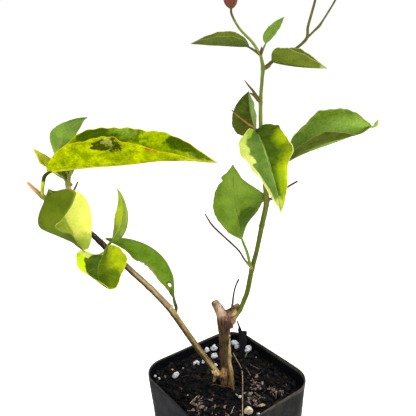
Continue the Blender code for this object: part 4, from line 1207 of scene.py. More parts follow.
class Blade:
    """A blade bent by angles; lengths in mm, angles in degrees."""

    def __init__(self, base, length, width, heading, rise,
                 roll=(0, 0), fold=(30, 30), curl=(0, 0), outline=LEAF_OUTLINE):
        self.length = length
        self.width = width
        self.angles = [heading, rise, roll]
        self.fold = fold
        self.curl = curl
        self.outline = outline
        self.steps = np.linspace(0, 1, RIB_STEPS + 1)
        ahead = self.directions((self.steps[1:] + self.steps[:-1]) / 2)[0]
        self.rib = np.vstack([base, np.array(base) + np.cumsum(ahead, axis=0) * length / RIB_STEPS])

    def directions(self, t):
        """Direction, right side and upper side of the midrib at t."""
        heading, rise, roll = (np.radians(a + (b - a) * t) for a, b in self.angles)
        level = np.cos(rise)
        ahead = np.stack([np.cos(heading) * level, np.sin(heading) * level, np.sin(rise)], -1)
        right = np.stack([np.sin(heading), -np.cos(heading), 0 * heading], -1)
        above = np.cross(right, ahead)
        side = right * np.cos(roll)[..., None] + above * np.sin(roll)[..., None]
        return ahead, side, np.cross(side, ahead)

    def midrib(self, t):
        return np.stack([np.interp(t, self.steps, self.rib[:, k]) for k in range(3)], -1)

    def reach(self, t, s):
        """How far the margin on the side of s is from the midrib, in mm."""
        climb, fall = self.outline
        peak = climb / (climb + fall)
        share = t ** climb * (1 - t) ** fall / (peak ** climb * (1 - peak) ** fall)
        return share * np.where(s > 0, self.width[1], self.width[0])

    def surface(self, t, s):
        _, side, above = self.directions(t)
        fold = np.radians(np.where(s > 0, self.fold[1], self.fold[0]))
        curl = np.radians(np.where(s > 0, self.curl[1], self.curl[0]))
        curl = np.where(np.abs(curl) < 1e-4, 1e-4, curl)
        share = np.abs(s)
        out = (np.sin(fold + curl * share) - np.sin(fold)) / curl * np.sign(s)
        up = (np.cos(fold) - np.cos(fold + curl * share)) / curl
        reach = self.reach(t, s)[..., None]
        return self.midrib(t) + (side * out[..., None] + above * up[..., None]) * reach


# %% Helper: a blade between rails
class RailBlade:
    """A blade stretched between smooth rails from its foot to its tip.

    The rails are the midrib, the left margin and the right margin.  The left
    half may pass through a belly on its way to the margin, for a leaf that
    curls back on itself.
    """

    def __init__(self, foot, tip, midrib, left, right, belly=()):
        self.steps = np.linspace(0, 1, RIB_STEPS + 1)
        self.rib, self.left, self.right, self.belly = (
            self.even([foot, *knots, tip]) if knots else None for knots in (midrib, left, right, belly))
        self.length = float(np.linalg.norm(np.diff(self.rib, axis=0), axis=1).sum())

    def even(self, knots):
        """Points at even distances on the smooth line through the knots."""
        line = smooth_line([(*knot, 0) for knot in knots], 0.4)
        along = np.r_[0, np.cumsum(np.linalg.norm(np.diff(line, axis=0), axis=1))]
        return np.stack([np.interp(self.steps * along[-1], along, line[:, k]) for k in range(3)], -1)

    def at(self, rail, t):
        return np.stack([np.interp(t, self.steps, rail[:, k]) for k in range(3)], -1)

    def midrib(self, t):
        return self.at(self.rib, t)

    def edge(self, t, s):
        return np.where((s > 0)[..., None], self.at(self.right, t), self.at(self.left, t))

    def reach(self, t, s):
        return np.linalg.norm(self.edge(t, s) - self.midrib(t), axis=-1)

    def surface(self, t, s):
        middle = self.midrib(t)
        edge = self.edge(t, s)
        u = np.abs(s)[..., None]
        plain = middle + (edge - middle) * u
        if self.belly is None:
            return plain
        bent = middle * (1 - u) * (1 - 2 * u) + self.at(self.belly, t) * 4 * u * (1 - u)
        return np.where((s > 0)[..., None], plain, bent + edge * u * (2 * u - 1))


# %% [markdown]
# ## How a leaf is made
# The rule is read on a fine grid, and the blade gets its relief there: a
# furrow along the midrib, soft quilting between the side veins, a ripple
# towards the margins. Two copies of the grid, a third of a millimetre apart
# and closer at the margin, are joined round the edge into one closed leaf.
# Each corner keeps its t and s, so that the finish knows where it is on the
# leaf. A bite moves the margin in, and a hole is a patch of the grid that is
# drawn in to an oval and left out.

# %% Helper: holes and dents
BLADE_THICKNESS = 0.34
MARGIN_THINNING = 0.6
RIB_FURROW = (0.14, 0.5)      # depth and half width
WAVE_OF_SKIN = (0.22, 6)      # height and size of its slow lumps
VEIN_PAIRS = 6
VEIN_SWEEP = 0.26     # how far a side vein runs forward on its way to the margin
HOLE_RINGS = 3        # grid cells from a hole's middle to its edge
HOLE_EASE = 4         # further cells over which the grid eases back


def pierce(t, s, blade, hole):
    """Draw the grid round a hole (t, s, half length, half width in mm) in to an oval."""
    centre_t, centre_s, half_length, half_width = hole
    row = int(np.argmin(np.abs(t[:, 0] - centre_t)))
    column = int(np.argmin(np.abs(s[0] - centre_s)))
    reach = float(blade.reach(np.array(centre_t), np.array(centre_s)))
    radii = (half_length / blade.length, half_width / reach)
    limit = HOLE_RINGS + HOLE_EASE
    for i in range(-limit, limit + 1):
        for j in range(-limit, limit + 1):
            ring = max(abs(i), abs(j))
            angle = math.atan2(j, i)
            share = ring / HOLE_RINGS
            oval_t = centre_t + radii[0] * share * math.cos(angle)
            oval_s = centre_s + radii[1] * share * math.sin(angle)
            ease = float(smooth_step((ring - HOLE_RINGS) / HOLE_EASE))
            t[row + i, column + j] += (oval_t - t[row + i, column + j]) * (1 - ease)
            s[row + i, column + j] += (oval_s - s[row + i, column + j]) * (1 - ease)
    return {(row + i, column + j) for i in range(-HOLE_RINGS, HOLE_RINGS)
            for j in range(-HOLE_RINGS, HOLE_RINGS)}


def nudge(points, t, s, nudges):
    """Move parts of a blade: (t, s, reach along, reach across, move in mm)."""
    for at_t, at_s, spread_t, spread_s, move in nudges:
        near = np.exp(-((t - at_t) / spread_t) ** 2 - ((s - at_s) / spread_s) ** 2)
        points = points + near[..., None] * np.array(move)
    return points


# %% Helper: the skin of a leaf
def upward(points):
    """The direction that the upper side of a grid of points faces."""
    return unit(np.cross(np.gradient(points, axis=1), np.gradient(points, axis=0)))


def blade_skin(blade, rows=64, columns=14, ripple=0.3, waves=4, quilt=0.1, pairs=VEIN_PAIRS,
               bites=(), holes=(), nudges=(), ragged=0.02, seed=0):
    """The closed skin of one blade; bites are (t, side, share of the width, half length)."""
    t, s = np.meshgrid(np.linspace(0.004, 0.996, rows + 1), np.linspace(-1, 1, 2 * columns + 1),
                       indexing="ij")
    gone = set()
    for hole in holes:
        gone |= pierce(t, s, blade, hole)
    place_t, place_s = t.copy(), s.copy()
    for centre, side, depth, width in bites:
        s = s * (1 - depth * np.exp(-((t - centre) / width) ** 2) * (np.sign(s) == side))
    s = s * (1 + ragged * np.sin(t * 61 + seed) * np.sin(t * 23 + 2 * seed + np.sign(s)))
    points = nudge(blade.surface(t, s), t, s, nudges)
    share = np.abs(s)
    reach = blade.reach(t, s)
    phase = (t - VEIN_SWEEP * share ** 1.25) * pairs + 0.5 * (s > 0)
    lift = quilt * (0.5 - 0.5 * np.cos(2 * math.pi * phase)) * np.sin(math.pi * np.clip(share, 0, 1) ** 0.7)
    lift -= RIB_FURROW[0] * np.exp(-(s * reach / RIB_FURROW[1]) ** 2)
    wave = np.sin(2 * math.pi * (waves * t + 0.37 * seed) + (s > 0) * 2.1)
    lift += ripple * share ** 3 * wave * np.sin(math.pi * t) ** 0.5
    lift += WAVE_OF_SKIN[0] * lumps(points.reshape(-1, 3), WAVE_OF_SKIN[1], seed + 3).reshape(t.shape)
    points = points + upward(points) * lift[..., None]
    normal = upward(points)
    half = (BLADE_THICKNESS / 2 * (1 - MARGIN_THINNING * share ** 10))[..., None]
    across = t.shape[1]
    count = t.size
    faces = []
    edges = {}
    for i, j in np.ndindex(t.shape[0] - 1, across - 1):
        if (i, j) not in gone:
            first = i * across + j
            loop = (first, first + 1, first + across + 1, first + across)
            faces += [loop, tuple(k + count for k in reversed(loop))]
            for a, b in zip(loop, loop[1:] + loop[:1]):
                if edges.pop((b, a), None) is None:
                    edges[a, b] = True
    faces += [(b, a, a + count, b + count) for a, b in edges]
    corners = np.concatenate([points + normal * half, points - normal * half]).reshape(-1, 3)
    place = np.stack([place_t, place_s, np.ones_like(t)], -1)
    reached = np.stack([t * blade.length, s * reach, (1 - np.abs(place_s)) * reach], -1)
    kept = {"place": np.concatenate([place, place * (1, 1, -1)]).reshape(-1, 3),
            "reach": np.concatenate([reached, reached]).reshape(-1, 3)}
    used = sorted({i for face in faces for i in face})
    number = {old: new for new, old in enumerate(used)}
    faces = [tuple(number[i] for i in face) for face in faces]
    return Skin().add(corners[used], faces, **{key: values[used] for key, values in kept.items()})


# %% Helper: stalks
RIB_STOPS = (0.03, 0.12, 0.25, 0.45, 0.65, 0.85)


def stalk_knots(blade, lead, radius, nudges=()):
    """Knots of a petiole that runs on under the blade as its midrib."""
    knots = [(*point, radius) if len(point) == 3 else tuple(point) for point in lead]
    for t in RIB_STOPS:
        ahead = blade.midrib(np.array(t + 0.01)) - blade.midrib(np.array(t - 0.01))
        side = blade.surface(np.array(t), np.array(0.05)) - blade.surface(np.array(t), np.array(-0.05))
        below = -unit(np.cross(side, ahead))
        thin = radius * (0.72 - 0.6 * t)
        rib = nudge(blade.midrib(np.array(t)), np.array(t), 0, nudges)
        point = rib + below * (BLADE_THICKNESS * 0.3 + thin * 0.25)
        knots.append((*point, thin))
    return knots


# %% [markdown]
# ## The finish of a leaf
# A leaf's colour is never even. Its base is two tones that are mixed by a
# broad noise, and spots with a place on the leaf are laid over it: a
# yellowing margin, a patch in another leaf's shade, a dead edge. Then come
# the side veins and the midrib, drawn in leaf coordinates, a line along the
# margin and a paler underside. The bump has the same veins with a fine net
# between them.

# %% Helper: leaf finish
def leaf_finish(name, left, right=None, spots=(), veins=0.2, under=0.1, margin=None,
                gloss=0.02, speckle=0.25, patches=5.5):
    """left and right are the two tones of each half of the blade.

    spots are (t, s, half length, half width, softness, strength, colour), with
    a 1 or -1 after them if only one face has the spot.  margin is (width in
    mm, strength, colour) of a line along the edge.
    """
    right = right or left
    paint = Paint(name, gloss=gloss)
    here = paint.here()
    place = paint.kept("place")
    t, s, side = paint.split(place)
    _, across, inset = paint.split(paint.kept("reach"))
    broad = paint.noise(here, patches, 3, 0.55)
    fine = paint.noise(here, 0.9, 4, 0.65)
    mottle = paint.ramp(broad, 0.34, 0.66)
    on_right = paint.maths("GREATER_THAN", s, 0)
    tone = paint.mix(on_right, paint.mix(mottle, *left), paint.mix(mottle, *right))
    light = tuple((a + b) / 2 for a, b in zip(left[1], right[1]))
    wander = paint.node("TexNoise", {"Vector": here, "Scale": 0.3, "Detail": 4, "Roughness": 0.6})
    stray = paint.vector("SUBTRACT", wander.outputs["Color"], (0.5, 0.5, 0.5))
    stray = paint.vector("SCALE", stray, scale=0.22)
    moved = paint.stretch(paint.vector("ADD", place, stray), (1, 1, 0))
    for spot_t, spot_s, half_length, half_width, softness, strength, colour, *face in spots:
        share = paint.spot(moved, (spot_t, spot_s, 0), (half_length, half_width, 1), softness)
        if face:
            share = paint.times(share, paint.ramp(side, -0.1 * face[0], 0.1 * face[0]))
        tone = paint.lay(tone, share, strength, colour)
    shade = paint.ramp(fine, 0.3, 0.7, 1 - speckle * 0.5, 1 + speckle * 0.35)
    tone = paint.stretch(tone, paint.node("CombineXYZ", {0: shade, 1: shade, 2: shade}).outputs[0])
    share = paint.maths("ABSOLUTE", s)
    sweep = paint.times(paint.maths("POWER", share, 1.25), VEIN_SWEEP)
    phase = paint.times(paint.maths("SUBTRACT", t, sweep), VEIN_PAIRS)
    phase = paint.maths("MULTIPLY_ADD", on_right, 0.5, phase)
    phase = paint.maths("ADD", phase, paint.ramp(fine, 0.2, 0.8, -0.03, 0.03))
    side_veins = paint.ramp(paint.maths("PINGPONG", phase, 0.5), 0.012, 0.055, 1, 0)
    side_veins = paint.times(side_veins, paint.ramp(share, 0.55, 0.98, 0.75, 0.1))
    rib = paint.ramp(paint.maths("ABSOLUTE", across), 0.12, 0.42, 1, 0)
    lines = paint.maths("MAXIMUM", side_veins, rib)
    tone = paint.lay(tone, lines, veins, tuple(c * 1.7 + 0.02 for c in light))
    if margin:
        width, strength, colour = margin
        line = paint.ramp(inset, width * 0.5, width, 1, 0)
        line = paint.times(line, paint.ramp(t, 0, 0.06))
        tone = paint.lay(tone, line, strength, colour)
    below = paint.ramp(side, 0.5, -0.5, 0, under)
    paint.colour(paint.mix(below, tone, tuple(c * 0.72 + 0.045 for c in light)))
    paint.roughness(paint.ramp(fine, 0.3, 0.7, 0.47, 0.62))
    net = paint.ramp(paint.cells(here, 1.1, "DISTANCE_TO_EDGE"), 0, 0.12)
    height = paint.maths("MULTIPLY_ADD", lines, -1.6, net)
    height = paint.maths("MULTIPLY_ADD", fine, 0.5, height)
    paint.bump(height, 0.05)
    return paint.material


# %% Helper: twigs
TWIG_SPACING = 0.6    # mm from ring to ring
TWIG_ROUGHNESS = 0.05


def twig_finish(name, dark, light, tip=None, tip_start=0.75, roughness=0.6, ring=None):
    """A stalk, twig or thorn: streaks along it, a tip, and a ring of another colour, which is painted shade
    on the long leaf's stalk.
    """
    paint = Paint(name, roughness=roughness, gloss=0.03)
    grain = paint.kept("grain")
    run = paint.split(paint.kept("run"))[0]
    streak = paint.noise(paint.stretch(grain, (2, 2, 0.3)), 0.8, 3, 0.6)
    tone = paint.mix(paint.ramp(streak, 0.34, 0.66), dark, light)
    if tip:
        tone = paint.mix(paint.ramp(run, tip_start, min(1, tip_start + 0.2)), tone, tip)
    if ring:
        start, end, colour = ring
        tone = paint.lay(tone, paint.ramp(run, start, start + 0.02), paint.ramp(run, end, end - 0.02), colour)
    paint.colour(tone)
    paint.bump(streak, 0.06)
    return paint.material


def twig(skin, knots, seed=0, slot=0):
    """Add one twig to a skin."""
    def relief(_along, _angle, corners):
        return TWIG_ROUGHNESS * lumps(corners.reshape(-1, 3), 0.7, seed).reshape(corners.shape[:2])
    corners, faces, kept = tube(smooth_line(knots, TWIG_SPACING), relief=relief)
    return skin.add(corners, faces, slot=slot, **kept)


def grow(name, blade, lead, radius, finish, stalk, leaf_slot, node, extras=(), finishes=(), **shape):
    """A leaf and its stalk as two pieces; extras are twigs on the stalk."""
    make_piece(name, blade_skin(blade, **shape), finish, [node])
    skin = twig(Skin(), stalk_knots(blade, lead, radius, shape.get("nudges", ())), seed=len(name))
    for number, (knots, slot) in enumerate(extras):
        twig(skin, knots, seed=number + 5, slot=slot)
    make_piece(name + "_stalk", skin, [stalk, *finishes], [node])
    print(name, "is", round(blade.length), "mm long")


# %% Finishes that several pieces share
pale_stalk = twig_finish("pale green stalk", (0.085, 0.14, 0.014), (0.16, 0.23, 0.034))
yellow_stalk = twig_finish("yellow stalk", (0.38, 0.42, 0.02), (0.56, 0.58, 0.06))
olive_stalk = twig_finish("olive stalk", (0.045, 0.058, 0.006), (0.085, 0.1, 0.014))
dead_twig = twig_finish("dead twig", (0.06, 0.042, 0.03), (0.16, 0.11, 0.075),
                        (0.024, 0.022, 0.022), 0.35, roughness=0.8)
thorn_paint = twig_finish("thorn", (0.13, 0.09, 0.045), (0.26, 0.16, 0.09), (0.16, 0.06, 0.045), 0.5)

# %% [markdown]
# ## The long yellow leaf
# The longest leaf lies nearly level at the tip of the cane, folded like a
# half-open book. It is turning yellow, so both halves are yellow-green with
# an orange margin. On one half lies a dark patch of painted shadow with a
# small pale island of painted light in it. Its petiole starts inside the
# cane, as a real one does, bends up and runs on under the blade.

# %% The long leaf
LONG_LEAF = Blade((-74.8, -16, 192.2), 71, (17, 17.5), (13, -21), (3, 5), (13, -22), (53, 54))
long_paint = leaf_finish(
    "yellowing leaf", ((0.12, 0.21, 0.001), (0.3, 0.41, 0.001)), ((0.19, 0.26, 0.001), (0.47, 0.54, 0.001)),
    spots=[
        (0.11, 0.55, 0.035, 0.55, 0.9, 0.6, (0.1, 0.17, 0.001)),
        (0.42, 0.35, 0.08, 0.3, 0.9, 0.6, (0.12, 0.18, 0.001)),
        (0.7, 0.3, 0.1, 0.5, 0.9, 0.4, (0.16, 0.23, 0.001)),
        (0.9, 0.05, 0.08, 0.45, 0.35, 0.85, (0.36, 0.46, 0.04)),
        # painted shadow: a dark patch, with a small pale island of painted light in it
        (0.35, 0.72, 0.06, 0.17, 0.2, 0.97, (0.034, 0.044, 0.002)),
        (0.425, 0.8, 0.035, 0.34, 0.25, 0.97, (0.034, 0.044, 0.002)),
        (0.395, 0.88, 0.026, 0.16, 0.25, 0.95, (0.27, 0.31, 0.05)),
        (0.385, 0.76, 0.018, 0.1, 0.3, 0.85, (0.2, 0.24, 0.03)),
        (0.28, -0.78, 0.13, 0.32, 0.3, 0.92, (0.028, 0.062, 0.001)),
        (0.43, -0.74, 0.1, 0.16, 0.5, 0.85, (0.04, 0.085, 0.002)),
        (0.45, -0.95, 0.07, 0.25, 0.4, 0.85, (0.19, 0.3, 0.02)),
        (0.53, -0.8, 0.03, 0.3, 0.4, 0.75, (0.07, 0.12, 0.002)),
        (0.62, -0.8, 0.07, 0.3, 0.35, 0.8, (0.33, 0.44, 0.001)),
        (0.78, -0.75, 0.09, 0.34, 0.25, 0.92, (0.032, 0.064, 0.001)),
        (0.9, -0.6, 0.06, 0.4, 0.35, 0.85, (0.055, 0.1, 0.003)),
        (0.65, 1, 0.03, 0.18, 0.4, 1, (0.44, 0.1, 0.01)),
        (0.47, 0.7, 0.01, 0.05, 0.4, 0.8, (0.35, 0.16, 0.004)),
        (1, 0, 0.025, 1.5, 0.4, 0.8, (0.5, 0.23, 0.06)),
    ],
    margin=(0.45, 0.75, (0.56, 0.4, 0.008)), veins=0.1, under=0, speckle=0.6, patches=4.6, gloss=0)
# its dark ring, just below the blade, is painted shade
long_stalk = twig_finish("long leaf stalk", (0.3, 0.35, 0.004), (0.52, 0.56, 0.03),
                         ring=(0.1, 0.2, (0.03, 0.042, 0.004)))
point = on_limb(CANE_LINE, 181)
grow("long_leaf", LONG_LEAF, [point, (-77.3, -17, 184.3), (-76.6, -17, 187.4), (-75.8, -16.5, 190.2)], 0.78,
     long_paint, long_stalk, "yellow_leaf", "foliage_left_end", rows=120, columns=18, ripple=0.5, waves=4.3,
     quilt=0.2, pairs=7, ragged=0.03, bites=[(0.85, 1, 0.75, 0.06), (0.93, 1, 0.8, 0.06)],
     nudges=[(0, 0, 0.06, 2, (-0.4, 0, -0.3)), (0.72, 0, 0.16, 2, (0, 0, 1.4)),
             (0.22, 1, 0.06, 0.5, (0, 0, -0.8)), (0.435, 1, 0.035, 0.5, (0, 0, 1.2)),
             (0.66, 1, 0.15, 0.6, (0, 0, -1.7)), (0.24, -1, 0.08, 0.6, (0, 0, 1.4)),
             (0.56, -1, 0.17, 0.6, (0, 0, -1.1))], seed=1)

# %% [markdown]
# ## The fork behind it
# A short side twig forks at a pinkish node into a broad upright leaf and a
# narrow one that is dying back from its tip. A thorn leaves the same twig.

# %% Fork of two leaves
BACK_LEAF = Blade((-69, -4, 185), 35, (7.5, 7.5), (157, 0), (60, 24), (-2, -24), (32, 6), (45, 20))
NARROW_LEAF = Blade((-70, -4, 184.5), 20.5, (5, 5), (182, 170), (28, 60), fold=(30, 32))
back_paint = leaf_finish(
    "fresh leaf", ((0.11, 0.19, 0.025), (0.17, 0.27, 0.036)),
    spots=[(0.8, 0.5, 0.12, 0.5, 0.5, 0.5, (0.07, 0.13, 0.012)),
           (0.15, 0, 0.12, 0.8, 0.5, 0.5, (0.08, 0.15, 0.012))],
    veins=0.06)
narrow_paint = leaf_finish(
    "withering leaf", ((0.33, 0.38, 0.016), (0.56, 0.6, 0.03)),
    spots=[(1, 0, 0.06, 1.8, 0.4, 0.9, (0.48, 0.36, 0.08)),
           (0.1, 0, 0.14, 1.5, 0.4, 0.8, (0.11, 0.18, 0.02))],
    under=0.15, margin=(0.35, 0.5, (0.48, 0.33, 0.04)))
point = on_limb(CANE_LINE, 172.3)
fork_stem = [(*point, 1.1), (-68.6, -10, 175.6, 1.3), (-69, -6.5, 180.5, 1.3), (-69.6, -4.6, 183.8, 1.2),
             (-69.4, -4.2, 184.6, 0.7)]
fork_thorn_paint = twig_finish("fork thorn", (0.12, 0.05, 0.026), (0.22, 0.11, 0.06),
                               (0.06, 0.05, 0.046), 0.6)
fork_thorn = [(-67.4, -7, 179.2, 0.5), (-65.4, -9, 182.8, 0.46), (-64, -10, 185.4, 0.28)]
right_branch = [(-69.3, -5, 183, 0.95), (-68.7, -5.2, 186.2, 0.9), (-67.9, -5, 189.8, 0.85),
                (-67.4, -4.6, 193.5, 0.6), (-67, -4.4, 196, 0.3)]
left_branch = [(-69.6, -5.2, 183.4, 0.65), (-71.2, -5.8, 186.5, 0.5), (-72.8, -6, 189.4, 0.45),
               (-73.6, -5.8, 192, 0.3)]
fork_paint = twig_finish("fork stem", (0.14, 0.16, 0.03), (0.28, 0.25, 0.08), (0.3, 0.19, 0.09), 0.7,
                         ring=(0.24, 0.3, (0.42, 0.25, 0.16)))
branch_paint = twig_finish("fork branch", (0.14, 0.16, 0.03), (0.3, 0.26, 0.09))
grow("back_leaf", BACK_LEAF, fork_stem, 0.8, back_paint, fork_paint, "green_leaf", "foliage_left_fork",
     extras=[(fork_thorn, 1), (right_branch, 2), (left_branch, 2)], finishes=[fork_thorn_paint, branch_paint],
     quilt=0.08, ripple=0.15, seed=2,
     nudges=[(0.8, 1, 0.12, 0.6, (1.3, 0, -0.4)), (0.76, -1, 0.15, 0.5, (0, 0, -0.8))])
grow("narrow_leaf", NARROW_LEAF, [(-68.2, -5, 182.6, 0.8)], 0.6, narrow_paint, pale_stalk,
     "green_leaf", "foliage_left_fork", rows=48, columns=10, quilt=0.05, ripple=0.2,
     nudges=[(1, 0, 0.3, 2, (1.3, 0, -0.2)), (0.66, -1, 0.22, 0.8, (-0.6, 0, -1.2))], seed=3)

# %% [markdown]
# ## The curled leaf
# One leaf has curled into a scoop. Its rear half is painted a glowing lime,
# as painted light that falls through it, while the front half shows its back,
# painted dark olive as painted shade, and is paler inside where light reaches
# it. Angles can't describe such a scoop, so it is stretched between smooth
# rails.

# %% The curled leaf
CURLED_LEAF = RailBlade(
    (-62.5, -18, 157.5), (-73.5, -20.5, 186),
    midrib=[(-63, -18, 159), (-65.5, -18.5, 163), (-67, -19, 167.5), (-68.5, -19.5, 172.5),
            (-70.5, -20, 178.5), (-72.5, -20.5, 183)],
    left=[(-63, -22, 161.5), (-64, -25.5, 167), (-65, -27.5, 169.5), (-67.5, -29, 171), (-70, -29.5, 173.5),
          (-66.5, -30.5, 177), (-62.5, -31, 182.5), (-61, -30, 186), (-61, -28.5, 187.5), (-64, -26, 188),
          (-68.5, -23.5, 186.5), (-71, -22, 184.5)],
    right=[(-60.5, -16.5, 157.5), (-59, -16, 161), (-58.5, -15.5, 166), (-58, -16, 173), (-59, -16, 178.5),
           (-60.5, -16.5, 181.5), (-63.5, -17, 184), (-67.5, -18.5, 185), (-71.5, -20, 185)],
    belly=[(-63.5, -20.5, 160), (-65.5, -21.5, 162.5), (-68, -22.5, 164.5), (-72, -23.5, 167),
           (-76, -24, 169), (-77.5, -24.5, 170.5), (-78, -24.5, 173), (-77, -24.5, 177.5), (-75, -23, 182),
           (-74, -21.5, 184.5)])
# painted light and shade: a glowing lime right half, a shaded dark left half, paler on its lit inner face
curled_paint = leaf_finish(
    "curled leaf", ((0.072, 0.108, 0.003), (0.105, 0.145, 0.006)), ((0.84, 0.9, 0.11), (0.94, 0.96, 0.18)),
    spots=[(0.3, -0.49, 0.7, 0.56, 0.08, 1, (0.46, 0.57, 0.07), 1),
           (0.1, 0.55, 0.15, 0.6, 0.5, 0.8, (0.26, 0.36, 0.03)),
           (0.99, 0.5, 0.12, 0.8, 0.2, 1, (0.08, 0.12, 0.004)),
           (0.05, -0.6, 0.24, 0.6, 0.5, 0.7, (0.042, 0.062, 0.003))],
    veins=0.04, under=0, margin=(0.3, 0.2, (0.5, 0.56, 0.12)), speckle=0.12, patches=9)
point = on_limb(CANE_LINE, 154.4)
grow("curled_leaf", CURLED_LEAF, [point, (-57.2, -12.8, 152.6), (-61, -15.4, 154.2)], 0.6, curled_paint,
     yellow_stalk, "lime_leaf", "foliage_left_curled", rows=90, columns=20, quilt=0.05, ripple=0.1,
     ragged=0, seed=4)

# %% [markdown]
# ## Two leaves halfway up the cane
# One node carries a leaf that hangs and is folded across its middle, and a
# slim one that stands upright. The hanging leaf is the most patched of all:
# one lobe glows lime, the part beside it lies in deep shade, and the fold
# divides yellow from green.

# %% Hanging leaf and upright leaf
HANGING_LEAF = RailBlade(
    (-52.5, -13.5, 157.5), (-50, -29, 144.5),
    midrib=[(-53, -16, 155), (-55, -19, 153), (-55.5, -21.5, 151), (-55.5, -24, 148.5), (-54.5, -26.5, 147),
            (-52.5, -28, 145.5)],
    left=[(-54, -14, 154), (-55.5, -14.5, 152.5), (-58, -15, 153.5), (-60, -15.5, 154), (-61.5, -15.5, 156),
          (-63.5, -16.5, 157), (-65, -19, 156), (-64, -24, 154), (-62, -26, 152), (-59, -28.5, 151),
          (-56.5, -30, 150.5), (-54, -30.5, 149.5), (-52, -30, 147.5)],
    right=[(-49.5, -18, 160), (-46.5, -21.5, 160.5), (-44.5, -23, 159.5), (-43, -23.5, 157),
           (-43, -23.5, 154.5), (-44, -24, 152), (-45.5, -24.5, 149), (-46.5, -25.5, 146),
           (-47.5, -27.5, 144.5)])
UPRIGHT_LEAF = Blade((-51.2, -9.5, 158), 34, (9, 3.4), (-53, -19), (14, 134), fold=(80, 90))
hanging_paint = leaf_finish(
    "patched leaf", ((0.04, 0.08, 0.006), (0.065, 0.12, 0.01)), ((0.23, 0.32, 0.001), (0.4, 0.48, 0.001)),
    spots=[
        (0.84, 0.3, 0.27, 0.75, 0.25, 0.95, (0.038, 0.076, 0.001)),
        (0.84, 0.62, 0.22, 0.3, 0.5, 0.8, (0.1, 0.16, 0.001)),
        (0.97, 0.6, 0.06, 0.4, 0.4, 0.8, (0.17, 0.26, 0.001)),
        (0.36, 0.12, 0.34, 0.3, 0.6, 0.9, (0.056, 0.105, 0.002)),
        (0.5, -0.94, 0.2, 0.32, 0.1, 1, (0.6, 0.84, 0.004)),
        (0.36, -0.8, 0.08, 0.3, 0.15, 0.9, (0.7, 0.82, 0.12)),
    ],
    margin=(0.45, 0.8, (0.62, 0.56, 0.02)), veins=0.18, under=0.06)
upright_paint = leaf_finish(
    "upright leaf", ((0.24, 0.33, 0.012), (0.32, 0.4, 0.02)), ((0.17, 0.25, 0.024), (0.22, 0.3, 0.036)),
    spots=[(0.6, -0.4, 0.2, 0.5, 0.25, 0.9, (0.38, 0.46, 0.006)),
           (0.15, 0, 0.14, 1.2, 0.4, 0.7, (0.12, 0.2, 0.016))],
    margin=(0.35, 0.7, (0.56, 0.58, 0.1)))
point = on_limb(CANE_LINE, 154.4)
dead_scale = [(-53.8, -12, 153.6, 0.5), (-54.4, -13.4, 152.4, 0.6), (-55.8, -14, 151.6, 0.35)]
stray_thorn = [(-53.6, -11.8, 155.4, 0.4), (-54.2, -12.6, 158, 0.3), (-54.8, -13, 160.6, 0.1)]
grow("hanging_leaf", HANGING_LEAF, [point, (-53.6, -13.6, 154.9)], 0.7, hanging_paint, pale_stalk,
     "lime_leaf", "foliage_left_middle", extras=[(dead_scale, 1), (stray_thorn, 2)],
     finishes=[dead_twig, thorn_paint],
     quilt=0.12, ripple=0.35, seed=5)
grow("upright_leaf", UPRIGHT_LEAF, [point, (-53.3, -13.3, 154.9), (-52.2, -11.6, 157.4)], 0.6, upright_paint,
     pale_stalk, "lime_leaf", "foliage_left_middle", quilt=0.06, ripple=0.1, seed=6)

# %% [markdown]
# ## The drooping leaf
# This leaf arches over from low on the cane and hangs along it, with its back
# turned up. An insect has eaten through both halves near its foot, where
# the edge has healed brown, and one margin is brown and dry.

# %% The drooping leaf
DROOPING_LEAF = Blade((-25.6, -4, 127), 51, (8.5, 10), (200, 180), (104, -11), fold=(-92, -56),
                      outline=(0.8, 0.8))
drooping_paint = leaf_finish(
    "drooping leaf", ((0.092, 0.172, 0.009), (0.135, 0.24, 0.016)),
    spots=[(0.13, -0.44, 0.04, 0.24, 0.2, 1, (0.11, 0.06, 0.014)),
           (0.06, -0.9, 0.025, 0.4, 0.4, 0.9, (0.06, 0.06, 0.03)),
           (0.38, -1, 0.16, 0.1, 0.5, 0.9, (0.33, 0.21, 0.09)),
           (0.75, 0.4, 0.2, 0.5, 0.5, 0.4, (0.12, 0.19, 0.03))],
    veins=0.18)
point = on_limb(CANE_LINE, 118)
cane_bud = [(-27, -6.2, 121.8, 0.9), (-26, -7.2, 123.2, 0.85), (-25.6, -7.6, 124.4, 0.4)]
bud_bark = twig_finish("cane bud", (0.3, 0.2, 0.11), (0.48, 0.34, 0.2))
droop_stalk = twig_finish("drooping stalk", (0.03, 0.04, 0.004), (0.095, 0.13, 0.01),
                          (0.1, 0.19, 0.014), 0.14)
grow("drooping_leaf", DROOPING_LEAF, [point, (-23.9, -4.2, 121.1), (-24.5, -4.2, 123.8)], 0.78,
     drooping_paint, droop_stalk, "green_leaf", "foliage_left_drooping", extras=[(cane_bud, 1)],
     finishes=[bud_bark], rows=90, ripple=0.25,
     bites=[(0.46, -1, 0.06, 0.012), (0.52, -1, 0.05, 0.01), (0.065, -1, 0.25, 0.012)],
     holes=[(0.13, -0.44, 1.2, 0.75), (0.12, 0.42, 1.6, 1.1)],
     nudges=[(0, 0, 0.08, 2, (0.5, 0, -1.2)), (0.66, -1, 0.1, 0.5, (-0.5, 0, -1.1)),
             (0.22, -1, 0.08, 0.5, (-0.4, 0, -0.7))], seed=7)

# %% [markdown]
# ## Leaves low on the shoot
# A broad leaf faces the front with a notch near its tip. The long twig
# beside it is still olive at its foot and has died back to brown.

